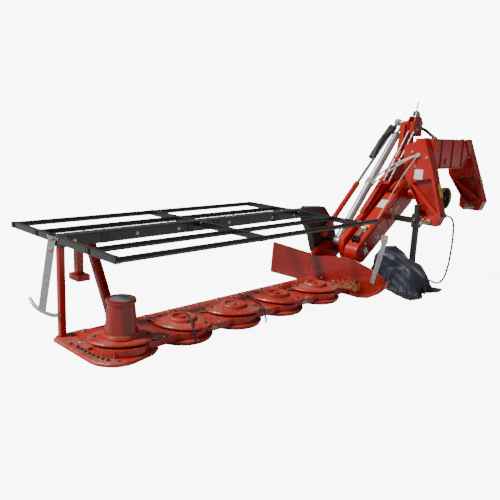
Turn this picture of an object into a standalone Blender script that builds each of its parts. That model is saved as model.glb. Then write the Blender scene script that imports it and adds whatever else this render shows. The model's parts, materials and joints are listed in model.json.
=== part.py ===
"""Side-mounted disc mower: a cutter bar of five discs under a folding guard frame.

X runs along the cutter bar from its outer end to the headstock, -Y is the driving direction and Z is up.
Every size below is in metres, measured from the outermost disc's axis at ground level. The last step
moves the whole mower so that the bottom centre of its bounding box is at the world's origin.
"""

from math import acos, cos, degrees, pi, radians, sin

import bmesh
import bpy
from mathutils import Vector

# ---- clearances -----------------------------------------------------------------------------------
GAP = 0.0003            # between pieces that touch
RUNNING_GAP = 0.006     # between pieces that pass each other
PIN_GAP = 0.001         # between a pin or rod and its bore

# ---- cutter bar and discs -------------------------------------------------------------------------
DISC_COUNT = 5
DISC_PITCH = 0.44
SKID_HEIGHT = 0.028
SKID_RADIUS = 0.190
SKID_REAR = 0.170
BAR_THICKNESS = 0.043
BAR_REAR = 0.285
BAR_FRONT = -0.120
BAR_LOBE_RADIUS = 0.162
BAR_OVERHANG = 0.280    # from the innermost disc's axis to the bar's inner end
OUTER_OVERHANG = 0.120  # from the outermost disc's axis to the bar's outer end
BAR_INNER = (DISC_COUNT - 1) * DISC_PITCH + BAR_OVERHANG
DISC_LONG = 0.190
DISC_SHORT = 0.140
DISC_THICKNESS = 0.026
BOSS_RADIUS = 0.057
HUB_RADIUS = 0.088
HUB_HEIGHT = 0.022
FIRST_DISC_TURN = radians(-30)
KNIFE_REACH = 0.232
KNIFE_WIDTH = 0.046
KNIFE_THICKNESS = 0.005
CONE_BASE_RADIUS = 0.100
CONE_TOP_RADIUS = 0.079
CONE_HEIGHT = 0.182
CAP_THICKNESS = 0.010
OUTER_SHOE_REACH = 0.230
OUTER_SHOE_REAR = 0.415

# ---- inner end of the bar -------------------------------------------------------------------------
DIVIDER_THICKNESS = 0.006
DIVIDER_FLARE_START = 0.010
DIVIDER_FLARE = 0.42    # sideways run for each metre rearwards
INNER_SHOE_WIDTH = 0.060
INNER_SHOE_THICKNESS = 0.009
GEARBOX_LENGTH = 0.170
GEARBOX_FRONT = 0.120
GEARBOX_BOTTOM = 0.060
GEARBOX_TOP = 0.260

# ---- guard frame ----------------------------------------------------------------------------------
GUARD_TOP = 0.642
BEAM_HEIGHT = 0.070
BEAM_FRONT = 0.330
BEAM_WIDTH = 0.080
BEAM_OUTER = -0.190
BEAM_INNER = BAR_INNER - 0.020
FLAP_BAR_HEIGHT = 0.040
FLAP_BAR_WIDTH = 0.024
RAIL_RADIUS = 0.017
FRONT_RAILS = (-0.271, -0.011)
REAR_RAILS = (0.898, 0.583)
CROSS_STATIONS = (-0.200, 0.850, BAR_INNER - 0.150)
FRONT_RAIL_INNER_END = BAR_INNER + 0.090
HINGE_SETBACK = 0.019   # from the beam's face to the flap's hinge line
HINGE_DROP = 0.012      # below the top of the guard
LUG_WIDTH = 0.012

# ---- carrier --------------------------------------------------------------------------------------
FOLD_X, FOLD_Z = BAR_INNER + 0.340, 0.280    # the bar's hinge and the lower pulley's axis
PULLEY_X, PULLEY_Z = FOLD_X + 0.670, 0.760   # the carrier's hinge and the upper pulley's axis
BELT_DEPTH = 0.130
BELT_LOWER_RADIUS = 0.088
BELT_UPPER_RADIUS = 0.118
ARM_FRONT = 0.135
BELT_TO_ARM = 0.005     # room for the spacer between the belt guard and the arm
BELT_FRONT = ARM_FRONT - BELT_TO_ARM - BELT_DEPTH
ARM_DEPTH = 0.055
ARM_END_RADIUS = 0.075
MAST_TOP_X, MAST_TOP_Z = PULLEY_X + 0.200, 1.390
SPRING_Y = 0.230
SPRING_RADIUS = 0.034
SPRING_FOOT = Vector((FOLD_X - 0.050, SPRING_Y, 0.355))
SPRING_HEAD = Vector((MAST_TOP_X - 0.110, SPRING_Y, 1.284))
SPRING_EYE_RADIUS = 0.042
SPRING_ROD_RADIUS = 0.011
FOLD_PIN_RADIUS = 0.030

# ---- lift cylinder --------------------------------------------------------------------------------
LIFT_Y = 0.296
LIFT_FOOT = Vector((FOLD_X - 0.160, LIFT_Y, 0.430))
LIFT_BARREL_RADIUS = 0.026
LIFT_BARREL_LENGTH = 0.600
LIFT_BORE_DEPTH = 0.400
LIFT_ROD_RADIUS = 0.014
LIFT_ROD_OVERLAP = 0.080
LIFT_EYE_RADIUS = 0.034
LIFT_LUG_RADIUS = 0.022
LIFT_EYE_WIDTH = 0.040
SLEEVE_RADIUS = 0.021
SLEEVE_LENGTH = 0.300

# ---- headstock ------------------------------------------------------------------------------------
LEG_NEAR = PULLEY_X - 0.200
LEG_WIDTH = 0.100
HITCH_SPAN = 0.820      # centre to centre of the two legs
LEG_FRONT = -0.436
BEAM_TOP = 1.258
BEAM_BOTTOM = 1.000
HITCH_BEAM_FRONT = -0.250
HITCH_BEAM_REAR = -0.070
NEAR_PIN_Z = 0.563
FAR_PIN_Z = 0.640
PIN_Y = -0.336
PIN_RADIUS = 0.015
PIN_REACH = 0.150
CUP_RADIUS = 0.094
CUP_FRONT = -0.372
CUP_DEPTH = 0.090
CUP_WALL = 0.004
SHAFT_TUBE_RADIUS = 0.050

# ---- parking stand --------------------------------------------------------------------------------
POST_SIZE = 0.044
SLEEVE_WALL = 0.010
STAND_Y = -0.236
STAND_SLEEVE_LOW, STAND_SLEEVE_HIGH = 0.500, 0.620
POST_TOP = 0.700
FOOT_SIZE = 0.140
FOOT_THICKNESS = 0.008

# ---- hose -----------------------------------------------------------------------------------------
CLOTH_WIDTH = 0.290
HOSE_RADIUS = 0.008
HOSE_ROUTE = (
    (2.900, -0.460, 0.628),
    (2.900, -0.478, 0.628),
    (2.902, -0.512, 0.612),
    (2.905, -0.532, 0.560),
    (2.908, -0.538, 0.460),
    (2.912, -0.534, 0.330),
    (2.920, -0.520, 0.200),
    (2.935, -0.490, 0.090),
    (2.958, -0.440, 0.030),
    (2.985, -0.390, 0.0125),
    (3.030, -0.310, 0.0090),
    (3.065, -0.200, 0.0090),
    (3.055, -0.090, 0.0090),
    (3.010, 0.000, 0.0090),
    (2.985, 0.095, 0.0090),
    (2.990, 0.190, 0.0090),
)
HOSE_POINTS_PER_SPAN = 5

# ---- values worked out from those above -----------------------------------------------------------
BAR_BOTTOM = SKID_HEIGHT + GAP
BAR_TOP = BAR_BOTTOM + BAR_THICKNESS
KNIFE_Z = BAR_TOP + RUNNING_GAP
DISC_Z = KNIFE_Z + KNIFE_THICKNESS + GAP
HUB_Z = DISC_Z + DISC_THICKNESS
HUB_TOP = HUB_Z + HUB_HEIGHT
DIVIDER_X = BAR_INNER + GAP + DIVIDER_THICKNESS / 2
BEHIND_DIVIDER = DIVIDER_X + DIVIDER_THICKNESS / 2 + GAP
BEAM_REAR = BEAM_FRONT + BEAM_WIDTH
BEAM_UNDERSIDE = GUARD_TOP - BEAM_HEIGHT
FRONT_HINGE_Y = BEAM_FRONT - HINGE_SETBACK
REAR_HINGE_Y = BEAM_REAR + HINGE_SETBACK
HINGE_Z = GUARD_TOP - HINGE_DROP
MAST_TOP = Vector((MAST_TOP_X, LIFT_Y, MAST_TOP_Z))
ARM_REAR = ARM_FRONT + ARM_DEPTH
LEG_FAR = LEG_NEAR + HITCH_SPAN
STAND_X = LEG_NEAR - GAP - SLEEVE_WALL - PIN_GAP - POST_SIZE / 2

PIVOTS = {}


# ---- small tools ----------------------------------------------------------------------------------
def clear_scene():
    """Start from an empty file, with one collection for the mower and one for its cutting tools."""
    for obj in list(bpy.data.objects):
        bpy.data.objects.remove(obj)
    for name in ("Disc mower", "Cutters"):
        collection = bpy.data.collections.new(name)
        bpy.context.scene.collection.children.link(collection)


def paint(name, colour, roughness=0.4, metallic=0.0):
    """A plain finish: its colour, roughness and metallic value."""
    finish = bpy.data.materials.new(name)
    finish.use_nodes = True
    shader = finish.node_tree.nodes["Principled BSDF"]
    shader.inputs["Base Color"].default_value = (*colour, 1.0)
    shader.inputs["Roughness"].default_value = roughness
    shader.inputs["Metallic"].default_value = metallic
    return finish


def make_paints():
    """The mower's finishes, by name."""
    return {
        "red": paint("Red paint", (0.48, 0.02, 0.015), 0.35),
        "black": paint("Black paint", (0.02, 0.02, 0.022), 0.35),
        "zinc": paint("Galvanised steel", (0.55, 0.57, 0.58), 0.4, 0.9),
        "steel": paint("Worn steel", (0.35, 0.28, 0.22), 0.5, 0.8),
        "chrome": paint("Chromed rod", (0.75, 0.76, 0.78), 0.15, 1.0),
        "yellow": paint("Yellow plastic", (0.65, 0.48, 0.10), 0.5),
        "rubber": paint("Black rubber", (0.015, 0.015, 0.016), 0.7),
        "cloth": paint("Dark guard cloth", (0.012, 0.014, 0.03), 0.6),
        "cap": paint("Grey cap", (0.22, 0.24, 0.26), 0.5),
    }


def pivot(name, place, parent=None):
    """An empty on a joint's axis, which carries the pieces that move about it."""
    empty = bpy.data.objects.new(name + "_pivot", None)
    bpy.data.collections["Disc mower"].objects.link(empty)
    PIVOTS[name] = Vector(place)
    empty.location = PIVOTS[name] - (PIVOTS[parent] if parent else Vector())
    if parent:
        empty.parent = bpy.data.objects[parent + "_pivot"]
    return empty


def place(obj, finish, carrier):
    """Give a finished piece its paint and hang it on its pivot."""
    if finish:
        obj.data.materials.clear()
        obj.data.materials.append(finish)
    for collection in obj.users_collection:
        collection.objects.unlink(obj)
    bpy.data.collections["Disc mower"].objects.link(obj)
    obj.location = obj.location - PIVOTS[carrier]
    obj.parent = bpy.data.objects[carrier + "_pivot"]
    return obj


def object_from(name, shape):
    """A mesh object made from a bmesh, which is freed."""
    mesh = bpy.data.meshes.new(name)
    shape.to_mesh(mesh)
    shape.free()
    obj = bpy.data.objects.new(name, mesh)
    bpy.context.scene.collection.objects.link(obj)
    return obj


def bevel(obj, width, segments=1):
    """Rounded edges."""
    edge = obj.modifiers.new("Rounded edges", "BEVEL")
    edge.width = width
    edge.segments = segments
    edge.limit_method = "ANGLE"
    edge.angle_limit = radians(40)
    return obj


def block(name, low, high, rounding=0.0):
    """A box between two corners."""
    low, high = Vector(low), Vector(high)
    shape = bmesh.new()
    bmesh.ops.create_cube(shape, size=1.0)
    bmesh.ops.scale(shape, vec=high - low, verts=shape.verts)
    obj = object_from(name, shape)
    obj.location = (low + high) / 2
    if rounding:
        bevel(obj, rounding)
    return obj


def smooth(obj, angle=35):
    """Smooth shading on round faces, with sharp edges kept."""
    obj.data.shade_smooth()
    obj.data.set_sharp_from_angle(angle=radians(angle))
    return obj


def round_bar(name, start, end, radius, end_radius=None, sides=20):
    """A round bar, or a cone, from one point to another."""
    start, end = Vector(start), Vector(end)
    run = end - start
    shape = bmesh.new()
    bmesh.ops.create_cone(
        shape,
        cap_ends=True,
        segments=sides,
        radius1=radius,
        radius2=radius if end_radius is None else end_radius,
        depth=run.length,
    )
    obj = smooth(object_from(name, shape))
    obj.location = (start + end) / 2
    obj.rotation_mode = "QUATERNION"
    obj.rotation_quaternion = run.to_track_quat("Z", "Y")
    return obj


def square_bar(name, start, end, width, depth, rounding=0.0):
    """A bar of rectangular section from one point to another."""
    start, end = Vector(start), Vector(end)
    run = end - start
    shape = bmesh.new()
    bmesh.ops.create_cube(shape, size=1.0)
    bmesh.ops.scale(shape, vec=(width, depth, run.length), verts=shape.verts)
    obj = object_from(name, shape)
    obj.location = (start + end) / 2
    obj.rotation_mode = "QUATERNION"
    obj.rotation_quaternion = run.to_track_quat("Z", "Y")
    if rounding:
        bevel(obj, rounding)
    return obj


def mesh_of(curve_object):
    """Turn a curve object into a mesh object with its caps welded on."""
    graph = bpy.context.evaluated_depsgraph_get()
    mesh = bpy.data.meshes.new_from_object(curve_object.evaluated_get(graph))
    name, placed = curve_object.name, curve_object.matrix_world.copy()
    bpy.data.objects.remove(curve_object)
    shape = bmesh.new()
    shape.from_mesh(mesh)
    bmesh.ops.remove_doubles(shape, verts=shape.verts, dist=1e-6)
    shape.to_mesh(mesh)
    shape.free()
    obj = bpy.data.objects.new(name, mesh)
    bpy.context.scene.collection.objects.link(obj)
    obj.matrix_world = placed
    return obj


TURNS = {
    "XY": (0, 0, 0),
    "XZ": (pi / 2, 0, 0),
    "YZ": (pi / 2, 0, pi / 2),
}
THICKNESS_AXIS = {"XY": 2, "XZ": 1, "YZ": 0}


def merge_flat_faces(obj):
    """Turn the triangles that fill an outline into one face at each end."""
    shape = bmesh.new()
    shape.from_mesh(obj.data)
    bmesh.ops.dissolve_limit(shape, angle_limit=radians(0.1), verts=shape.verts, edges=shape.edges)
    shape.to_mesh(obj.data)
    shape.free()
    return obj


def plate(name, outline, plane, low, high, rounding=0.0):
    """A flat outline in a plane, as thick as from low to high across it."""
    curve = bpy.data.curves.new(name, "CURVE")
    curve.dimensions = "2D"
    curve.fill_mode = "BOTH"
    curve.extrude = (high - low) / 2
    spline = curve.splines.new("POLY")
    spline.points.add(len(outline) - 1)
    for point, (across, along) in zip(spline.points, outline):
        point.co = (across, along, 0, 1)
    spline.use_cyclic_u = True
    obj = bpy.data.objects.new(name, curve)
    bpy.context.scene.collection.objects.link(obj)
    obj.rotation_euler = TURNS[plane]
    obj.location[THICKNESS_AXIS[plane]] = (low + high) / 2
    bpy.context.view_layer.update()
    made = merge_flat_faces(mesh_of(obj))
    if rounding:
        bevel(made, rounding)
    return made


def arc(centre, radius, start, end, steps=8):
    """Points round an arc, from one angle to another, in degrees."""
    turns = [radians(start + (end - start) * i / steps) for i in range(steps + 1)]
    return [(centre[0] + radius * cos(turn), centre[1] + radius * sin(turn)) for turn in turns]


def boolean(target, tool, operation):
    """Join a tool to a piece, or cut it out, and put the tool away with the cutters."""
    for collection in tool.users_collection:
        collection.objects.unlink(tool)
    bpy.data.collections["Cutters"].objects.link(tool)
    tool.hide_render = True
    tool.display_type = "WIRE"
    modifier = target.modifiers.new(tool.name, "BOOLEAN")
    modifier.operation = operation
    modifier.solver = "EXACT"
    modifier.object = tool
    tool.parent = target
    bpy.context.view_layer.update()
    tool.matrix_parent_inverse = target.matrix_world.inverted()
    return target


def join(target, *tools):
    """Weld other shapes to a piece."""
    for tool in tools:
        boolean(target, tool, "UNION")
    return target


def cut(target, *tools):
    """Cut other shapes out of a piece."""
    for tool in tools:
        boolean(target, tool, "DIFFERENCE")
    return target


# ---- cutter bar -----------------------------------------------------------------------------------
def disc_centres():
    return [number * DISC_PITCH for number in range(DISC_COUNT)]


def make_cutter_bar(paints):
    """The flat gear housing: straight behind, with a round lobe and a bearing boss under each disc."""
    low, high = (-OUTER_OVERHANG, BAR_FRONT, BAR_BOTTOM), (BAR_INNER, BAR_REAR, BAR_TOP)
    bar = block("cutter_bar", low, high)
    for number, centre in enumerate(disc_centres()):
        bottom, top = (centre, 0, BAR_BOTTOM), (centre, 0, BAR_TOP)
        lobe = round_bar(f"lobe_shape_{number + 1}", bottom, top, BAR_LOBE_RADIUS, None, 40)
        boss_low, boss_high = (centre, 0, BAR_TOP - 0.008), (centre, 0, KNIFE_Z - GAP)
        boss = round_bar(f"boss_shape_{number + 1}", boss_low, boss_high, BOSS_RADIUS, None, 24)
        join(bar, lobe, boss)
    place(bar, paints["red"], "fold")


def make_skids(paints):
    """A replaceable skid under each disc but the outermost, rounded in front."""
    for number, centre in enumerate(disc_centres()):
        if number == 0:
            continue
        half = SKID_RADIUS * sin(radians(70))
        outline = [(centre + half, SKID_REAR), (centre - half, SKID_REAR)]
        outline += arc((centre, 0.0), SKID_RADIUS, 200, 340, 12)
        skid = plate(f"skid_{number + 1}", outline, "XY", 0.0, SKID_HEIGHT, 0.009)
        place(skid, paints["red"], "fold")


def make_outer_shoe(paints):
    """The wide shoe under the bar's outer end, which reaches back to carry the guard's leg."""
    reach = OUTER_SHOE_REACH
    outline = [(0.070, 0.350), (0.010, OUTER_SHOE_REAR), (-0.185, OUTER_SHOE_REAR)]
    outline += [(-reach, OUTER_SHOE_REAR - 0.045), (-reach + 0.002, -0.030)]
    outline += arc((-0.060, -0.030), 0.168, 190, 285, 8)
    outline += [(0.120, -0.160), (0.185, -0.110), (0.185, 0.200)]
    shoe = plate("outer_shoe", outline, "XY", 0.0, SKID_HEIGHT, 0.009)
    place(shoe, paints["red"], "fold")


def ellipse_dish(name, low, high, scale):
    """An oval dish: wide at the bottom, with sloping sides."""
    shape = bmesh.new()
    bmesh.ops.create_cone(
        shape, cap_ends=True, segments=40, radius1=1.0, radius2=scale, depth=high - low
    )
    bmesh.ops.scale(shape, vec=(DISC_LONG, DISC_SHORT, 1.0), verts=shape.verts)
    return smooth(object_from(name, shape), 25)


def make_discs(paints):
    """Five oval discs with their knives. Neighbours turn opposite ways, a quarter turn apart."""
    for number, centre in enumerate(disc_centres()):
        name = f"disc_{number + 1}"
        turn = FIRST_DISC_TURN if number % 2 == 0 else pi / 2 - FIRST_DISC_TURN
        hub = round_bar(
            name + "_hub_shape",
            (centre, 0, HUB_Z - 0.004),
            (centre, 0, HUB_TOP),
            HUB_RADIUS + 0.010,
            HUB_RADIUS,
            32,
        )
        dish = ellipse_dish(name, DISC_Z, HUB_Z, 0.72)
        dish.location = (centre, 0, (DISC_Z + HUB_Z) / 2)
        dish.rotation_euler.z = turn
        bpy.context.view_layer.update()
        join(dish, hub)
        place(dish, paints["red"], name)
        make_knives(paints, number + 1, centre, turn)


def make_knives(paints, number, centre, turn):
    """Two knives on their carrier strip, which is bolted under the disc."""
    knives = block(
        f"knives_{number}",
        (-KNIFE_REACH, -KNIFE_WIDTH / 2, -KNIFE_THICKNESS / 2),
        (KNIFE_REACH, KNIFE_WIDTH / 2, KNIFE_THICKNESS / 2),
    )
    knives.location = (centre, 0, KNIFE_Z + KNIFE_THICKNESS / 2)
    knives.rotation_euler.z = turn
    place(knives, paints["steel"], f"disc_{number}")


def make_cone(paints):
    """The crop cone on the outermost disc, with its grey cap."""
    low = HUB_TOP + GAP
    high = low + CONE_HEIGHT
    cone = round_bar("crop_cone", (0, 0, low), (0, 0, high), CONE_BASE_RADIUS, CONE_TOP_RADIUS, 32)
    place(cone, paints["red"], "disc_1")
    cap_low = high + GAP
    cap_radius = CONE_TOP_RADIUS - 0.006
    cap = round_bar("cone_cap", (0, 0, cap_low), (0, 0, cap_low + CAP_THICKNESS), cap_radius, None, 32)
    place(cap, paints["cap"], "disc_1")


# ---- inner end of the bar -------------------------------------------------------------------------
def make_divider(paints):
    """The upright sheet at the bar's inner end, whose rear part flares outwards over the cut crop."""
    outline = [(-0.445, 0.165), (-0.405, 0.095), (-0.330, 0.042), (-0.240, 0.014), (0.260, 0.014)]
    outline += [(0.610, 0.060), (0.600, 0.330), (0.235, 0.258), (-0.060, 0.302)]
    outline += [(-0.160, 0.298), (-0.350, 0.248), (-0.440, 0.205)]
    half = DIVIDER_THICKNESS / 2
    divider = plate("divider", outline, "YZ", DIVIDER_X - half, DIVIDER_X + half)
    shape = bmesh.new()
    shape.from_mesh(divider.data)
    everything = shape.verts[:] + shape.edges[:] + shape.faces[:]
    bend = Vector((BAR_REAR + DIVIDER_FLARE_START, 0, 0))
    bmesh.ops.bisect_plane(shape, geom=everything, plane_co=bend, plane_no=(1, 0, 0))
    for point in shape.verts:
        point.co.z -= max(0.0, point.co.x - bend.x) * DIVIDER_FLARE
    shape.to_mesh(divider.data)
    shape.free()
    place(divider, paints["red"], "fold")


def make_inner_shoe(paints):
    """The runner beside the divider, turned up in front."""
    lower = [(0.280, 0.0), (-0.215, 0.0), (-0.300, 0.018), (-0.370, 0.060), (-0.425, 0.115), (-0.462, 0.185)]
    upper = [(-0.452, 0.189), (-0.417, 0.121), (-0.364, 0.067), (-0.297, 0.027), (-0.215, 0.0), (0.280, 0.0)]
    upper[-2] = (-0.215, INNER_SHOE_THICKNESS)
    upper[-1] = (0.280, INNER_SHOE_THICKNESS)
    shoe = plate("inner_shoe", lower + upper, "YZ", BEHIND_DIVIDER, BEHIND_DIVIDER + INNER_SHOE_WIDTH)
    place(shoe, paints["red"], "fold")


def make_gearbox(paints):
    """The angle gearbox behind the divider, with the neck and pin on which the bar folds."""
    box = block(
        "gearbox",
        (BEHIND_DIVIDER, GEARBOX_FRONT, GEARBOX_BOTTOM),
        (BEHIND_DIVIDER + GEARBOX_LENGTH, BEAM_FRONT - GAP, GEARBOX_TOP),
        0.010,
    )
    neck_outline = [(BEHIND_DIVIDER + 0.010, GEARBOX_BOTTOM + 0.012), (FOLD_X - 0.130, 0.100)]
    neck_outline += arc((FOLD_X, FOLD_Z), ARM_END_RADIUS, -60, 100, 8)
    neck_outline += [(FOLD_X - 0.130, 0.340), (BEHIND_DIVIDER + 0.010, GEARBOX_TOP - 0.010)]
    neck = plate("gearbox_neck", neck_outline, "XZ", SPRING_Y + 0.042, BEAM_FRONT - GAP - 0.002)
    pin = round_bar(
        "fold_pin_shape",
        (FOLD_X, ARM_FRONT + 0.004, FOLD_Z),
        (FOLD_X, BEAM_FRONT - 0.020, FOLD_Z),
        FOLD_PIN_RADIUS,
        None,
        24,
    )
    join(box, neck, pin)
    place(box, paints["red"], "fold")


def make_shoe_bar(paints):
    """The flat galvanised bar that stands at the front of the divider."""
    bar_x = DIVIDER_X - DIVIDER_THICKNESS / 2 - GAP - 0.003
    bar = square_bar("shoe_bar", (bar_x, -0.338, 0.150), (bar_x, -0.425, 0.545), 0.006, 0.040)
    place(bar, paints["zinc"], "fold")


# ---- guard frame ----------------------------------------------------------------------------------
def make_beam(paints):
    """The guard's fixed beam, with the lugs on which both flaps hinge."""
    beam = block(
        "guard_beam",
        (BEAM_OUTER, BEAM_FRONT, BEAM_UNDERSIDE),
        (BEAM_INNER, BEAM_REAR, GUARD_TOP),
        0.006,
    )
    low = GUARD_TOP - FLAP_BAR_HEIGHT
    for number, station in enumerate(CROSS_STATIONS):
        side = station + FLAP_BAR_WIDTH / 2 + GAP
        for name, near, far in (
            ("front", FRONT_HINGE_Y - 0.014, BEAM_FRONT + 0.010),
            ("rear", BEAM_REAR - 0.010, REAR_HINGE_Y + 0.014),
        ):
            lug_low = (side, near, low + 0.003)
            lug_high = (side + LUG_WIDTH, far, GUARD_TOP - 0.001)
            join(beam, block(f"{name}_lug_shape_{number + 1}", lug_low, lug_high))
    place(beam, paints["black"], "fold")


def make_flap(paints, name, rails, hinge_y, rail_ends):
    """One hinged half of the guard: two round rails on three cross bars."""
    outward = -1 if rails[0] < hinge_y else 1
    low, high = GUARD_TOP - FLAP_BAR_HEIGHT, GUARD_TOP
    near = hinge_y - outward * 0.005
    far = rails[0]
    bars = []
    for number, station in enumerate(CROSS_STATIONS):
        bars.append(
            block(
                name if number == 0 else f"{name}_bar_{number + 1}",
                (station - FLAP_BAR_WIDTH / 2, min(near, far), low),
                (station + FLAP_BAR_WIDTH / 2, max(near, far), high),
            )
        )
    centre = (low + high) / 2
    for number, (rail_y, inner_end) in enumerate(zip(rails, rail_ends)):
        rail = round_bar(
            f"{name}_rail_{number + 1}",
            (CROSS_STATIONS[0] - 0.018, rail_y, centre),
            (inner_end, rail_y, centre),
            RAIL_RADIUS,
            None,
            14,
        )
        bars.append(rail)
    flap = join(bars[0], *bars[1:])
    place(flap, paints["black"], name)


def make_guard(paints):
    make_beam(paints)
    inner = CROSS_STATIONS[-1] + 0.018
    make_flap(paints, "front_guard", FRONT_RAILS, FRONT_HINGE_Y, (FRONT_RAIL_INNER_END, inner))
    make_flap(paints, "rear_guard", REAR_RAILS, REAR_HINGE_Y, (inner, inner))


def make_guard_supports(paints):
    """What carries the beam: an arm at its inner end, and a leg and a brace at its outer end."""
    outline = [(BEAM_INNER + GAP, GUARD_TOP + 0.018), (FOLD_X - 0.120, GUARD_TOP + 0.003)]
    outline += [(FOLD_X + 0.020, 0.510), (FOLD_X + 0.120, 0.260), (FOLD_X - 0.020, 0.190)]
    outline += [(FOLD_X - 0.200, 0.250), (FOLD_X - 0.260, 0.400), (BEAM_INNER + GAP, 0.540)]
    arm = plate("guard_arm", outline, "XZ", BEAM_FRONT, BEAM_REAR, 0.006)
    lug = round_bar(
        "lift_lug_shape",
        (LIFT_FOOT.x, LIFT_Y + LIFT_EYE_WIDTH / 2 + GAP, LIFT_FOOT.z),
        (LIFT_FOOT.x, BEAM_FRONT + 0.030, LIFT_FOOT.z),
        LIFT_LUG_RADIUS,
        None,
        20,
    )
    join(arm, lug)
    place(arm, paints["black"], "fold")
    leg_foot = SKID_HEIGHT + GAP
    leg_top = BEAM_UNDERSIDE - GAP
    leg = square_bar("outer_leg", (-0.168, 0.372, leg_foot), (-0.168, 0.372, leg_top), 0.040, 0.040, 0.004)
    place(leg, paints["red"], "fold")
    brace_outline = [(-0.010, BEAM_UNDERSIDE - GAP), (0.045, BEAM_UNDERSIDE - GAP)]
    brace_outline += [(0.125, 0.150), (0.125, BAR_TOP + GAP), (0.075, BAR_TOP + GAP), (0.075, 0.150)]
    brace = plate("outer_brace", brace_outline, "XZ", -0.020, 0.020)
    lean_back(brace, BAR_TOP + GAP, BAR_REAR - 0.025, BEAM_UNDERSIDE - GAP, BEAM_FRONT + 0.030)
    place(brace, paints["red"], "fold")
    hanger = block(
        "beam_bracket",
        (-0.075, BEAM_FRONT + 0.015, 0.385),
        (-0.035, BEAM_REAR - 0.015, BEAM_UNDERSIDE - GAP),
    )
    foot = block("bracket_foot_shape", (-0.100, BEAM_FRONT - 0.030, 0.362), (-0.018, BEAM_REAR, 0.400))
    join(hanger, foot)
    place(hanger, paints["red"], "fold")


def lean_back(obj, low, low_y, high, high_y):
    """Shear a plate that lies in the XZ plane, so that it runs from one y below to another above."""
    shape = bmesh.new()
    shape.from_mesh(obj.data)
    slope = (high_y - low_y) / (high - low)
    for point in shape.verts:
        point.co.z -= low_y + (point.co.y - low) * slope
    shape.to_mesh(obj.data)
    shape.free()


def make_hanger(paints):
    """The galvanised bar that hangs from the beam's outer end, with a curved round foot."""
    side = BEAM_OUTER - GAP - 0.004
    bar = square_bar("hanger_bar", (side, 0.385, 0.636), (side, 0.545, 0.140), 0.008, 0.036)
    foot_x = side - 0.004
    points = [(0.710, 0.185), (0.660, 0.160), (0.600, 0.147), (0.545, 0.143), (0.480, 0.146), (0.400, 0.156)]
    points.append((0.325, 0.178))
    foot = tube("hanger_foot_shape", [(foot_x, y, z) for y, z in points], 0.010)
    join(bar, foot)
    place(bar, paints["zinc"], "fold")


def tube(name, points, radius, resolution=2):
    """A round tube along a line of points, as a mesh."""
    return mesh_of(tube_curve(name, points, radius, resolution))


def tube_curve(name, points, radius, resolution=2):
    """A round tube along a line of points, as a curve object."""
    curve = bpy.data.curves.new(name, "CURVE")
    curve.dimensions = "3D"
    curve.bevel_depth = radius
    curve.bevel_resolution = resolution
    curve.use_fill_caps = True
    spline = curve.splines.new("POLY")
    spline.points.add(len(points) - 1)
    for point, where in zip(spline.points, points):
        point.co = (*where, 1)
    obj = bpy.data.objects.new(name, curve)
    bpy.context.scene.collection.objects.link(obj)
    bpy.context.view_layer.update()
    return obj


# ---- carrier --------------------------------------------------------------------------------------
def make_carrier_arm(paints):
    """The deep arm from the fold pin up to the mast, with a bore for the pin."""
    outline = arc((FOLD_X, FOLD_Z), ARM_END_RADIUS, 190, 300, 8)
    outline += [(PULLEY_X + 0.030, 0.640), (PULLEY_X + 0.180, 0.760), (PULLEY_X + 0.250, 1.080)]
    outline += [(PULLEY_X + 0.240, 1.400), (PULLEY_X + 0.100, 1.400), (PULLEY_X + 0.060, 1.160)]
    outline += [(FOLD_X + 0.320, 0.690), (FOLD_X - 0.080, 0.390), (FOLD_X - 0.090, 0.330)]
    arm = plate("carrier_arm", outline, "XZ", ARM_FRONT, ARM_REAR, 0.005)
    bore = round_bar(
        "fold_bore_cutter",
        (FOLD_X, ARM_FRONT - 0.05, FOLD_Z),
        (FOLD_X, ARM_REAR + 0.05, FOLD_Z),
        FOLD_PIN_RADIUS + PIN_GAP,
        None,
        24,
    )
    cut(arm, bore)
    place(arm, paints["red"], "carrier")


def make_belt_guard(paints):
    """The housing over the drive belt: two round ends with straight sides."""
    lower, upper = Vector((FOLD_X, FOLD_Z)), Vector((PULLEY_X, PULLEY_Z))
    run = upper - lower
    heading = degrees(run.angle_signed(Vector((1, 0))))
    lean = degrees(acos((BELT_LOWER_RADIUS - BELT_UPPER_RADIUS) / run.length))
    outline = arc(lower, BELT_LOWER_RADIUS, heading + lean, heading + 360 - lean, 12)
    outline += arc(upper, BELT_UPPER_RADIUS, heading - lean, heading + lean, 14)
    guard = plate("belt_guard", outline, "XZ", BELT_FRONT, BELT_FRONT + BELT_DEPTH, 0.006)
    place(guard, paints["red"], "carrier")
    low = (FOLD_X + 0.320, BELT_FRONT + BELT_DEPTH + GAP, 0.480)
    high = (FOLD_X + 0.440, ARM_FRONT - GAP, 0.600)
    spacer = block("belt_spacer", low, high)
    place(spacer, paints["red"], "carrier")


def make_mast_head(paints):
    """The cheek and the long pin at the arm's upper end."""
    low = (PULLEY_X + 0.090, 0.060, 1.270)
    high = (PULLEY_X + 0.240, ARM_FRONT - GAP, 1.450)
    head = block("mast_head", low, high, 0.006)
    place(head, paints["red"], "carrier")
    pin = round_bar(
        "mast_pin",
        (MAST_TOP.x, ARM_REAR + GAP, MAST_TOP.z),
        (MAST_TOP.x, LIFT_Y - LIFT_EYE_WIDTH / 2 - GAP, MAST_TOP.z),
        0.018,
        None,
        20,
    )
    place(pin, paints["zinc"], "carrier")
    foot = Vector((MAST_TOP_X - 0.035, 0.095, high[2] + GAP))
    route = [foot, foot + Vector((0, 0, 0.0497)), foot + Vector((0.020, 0, 0.1297))]
    lever = tube("latch_lever", route, 0.008)
    place(lever, paints["zinc"], "carrier")


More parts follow.
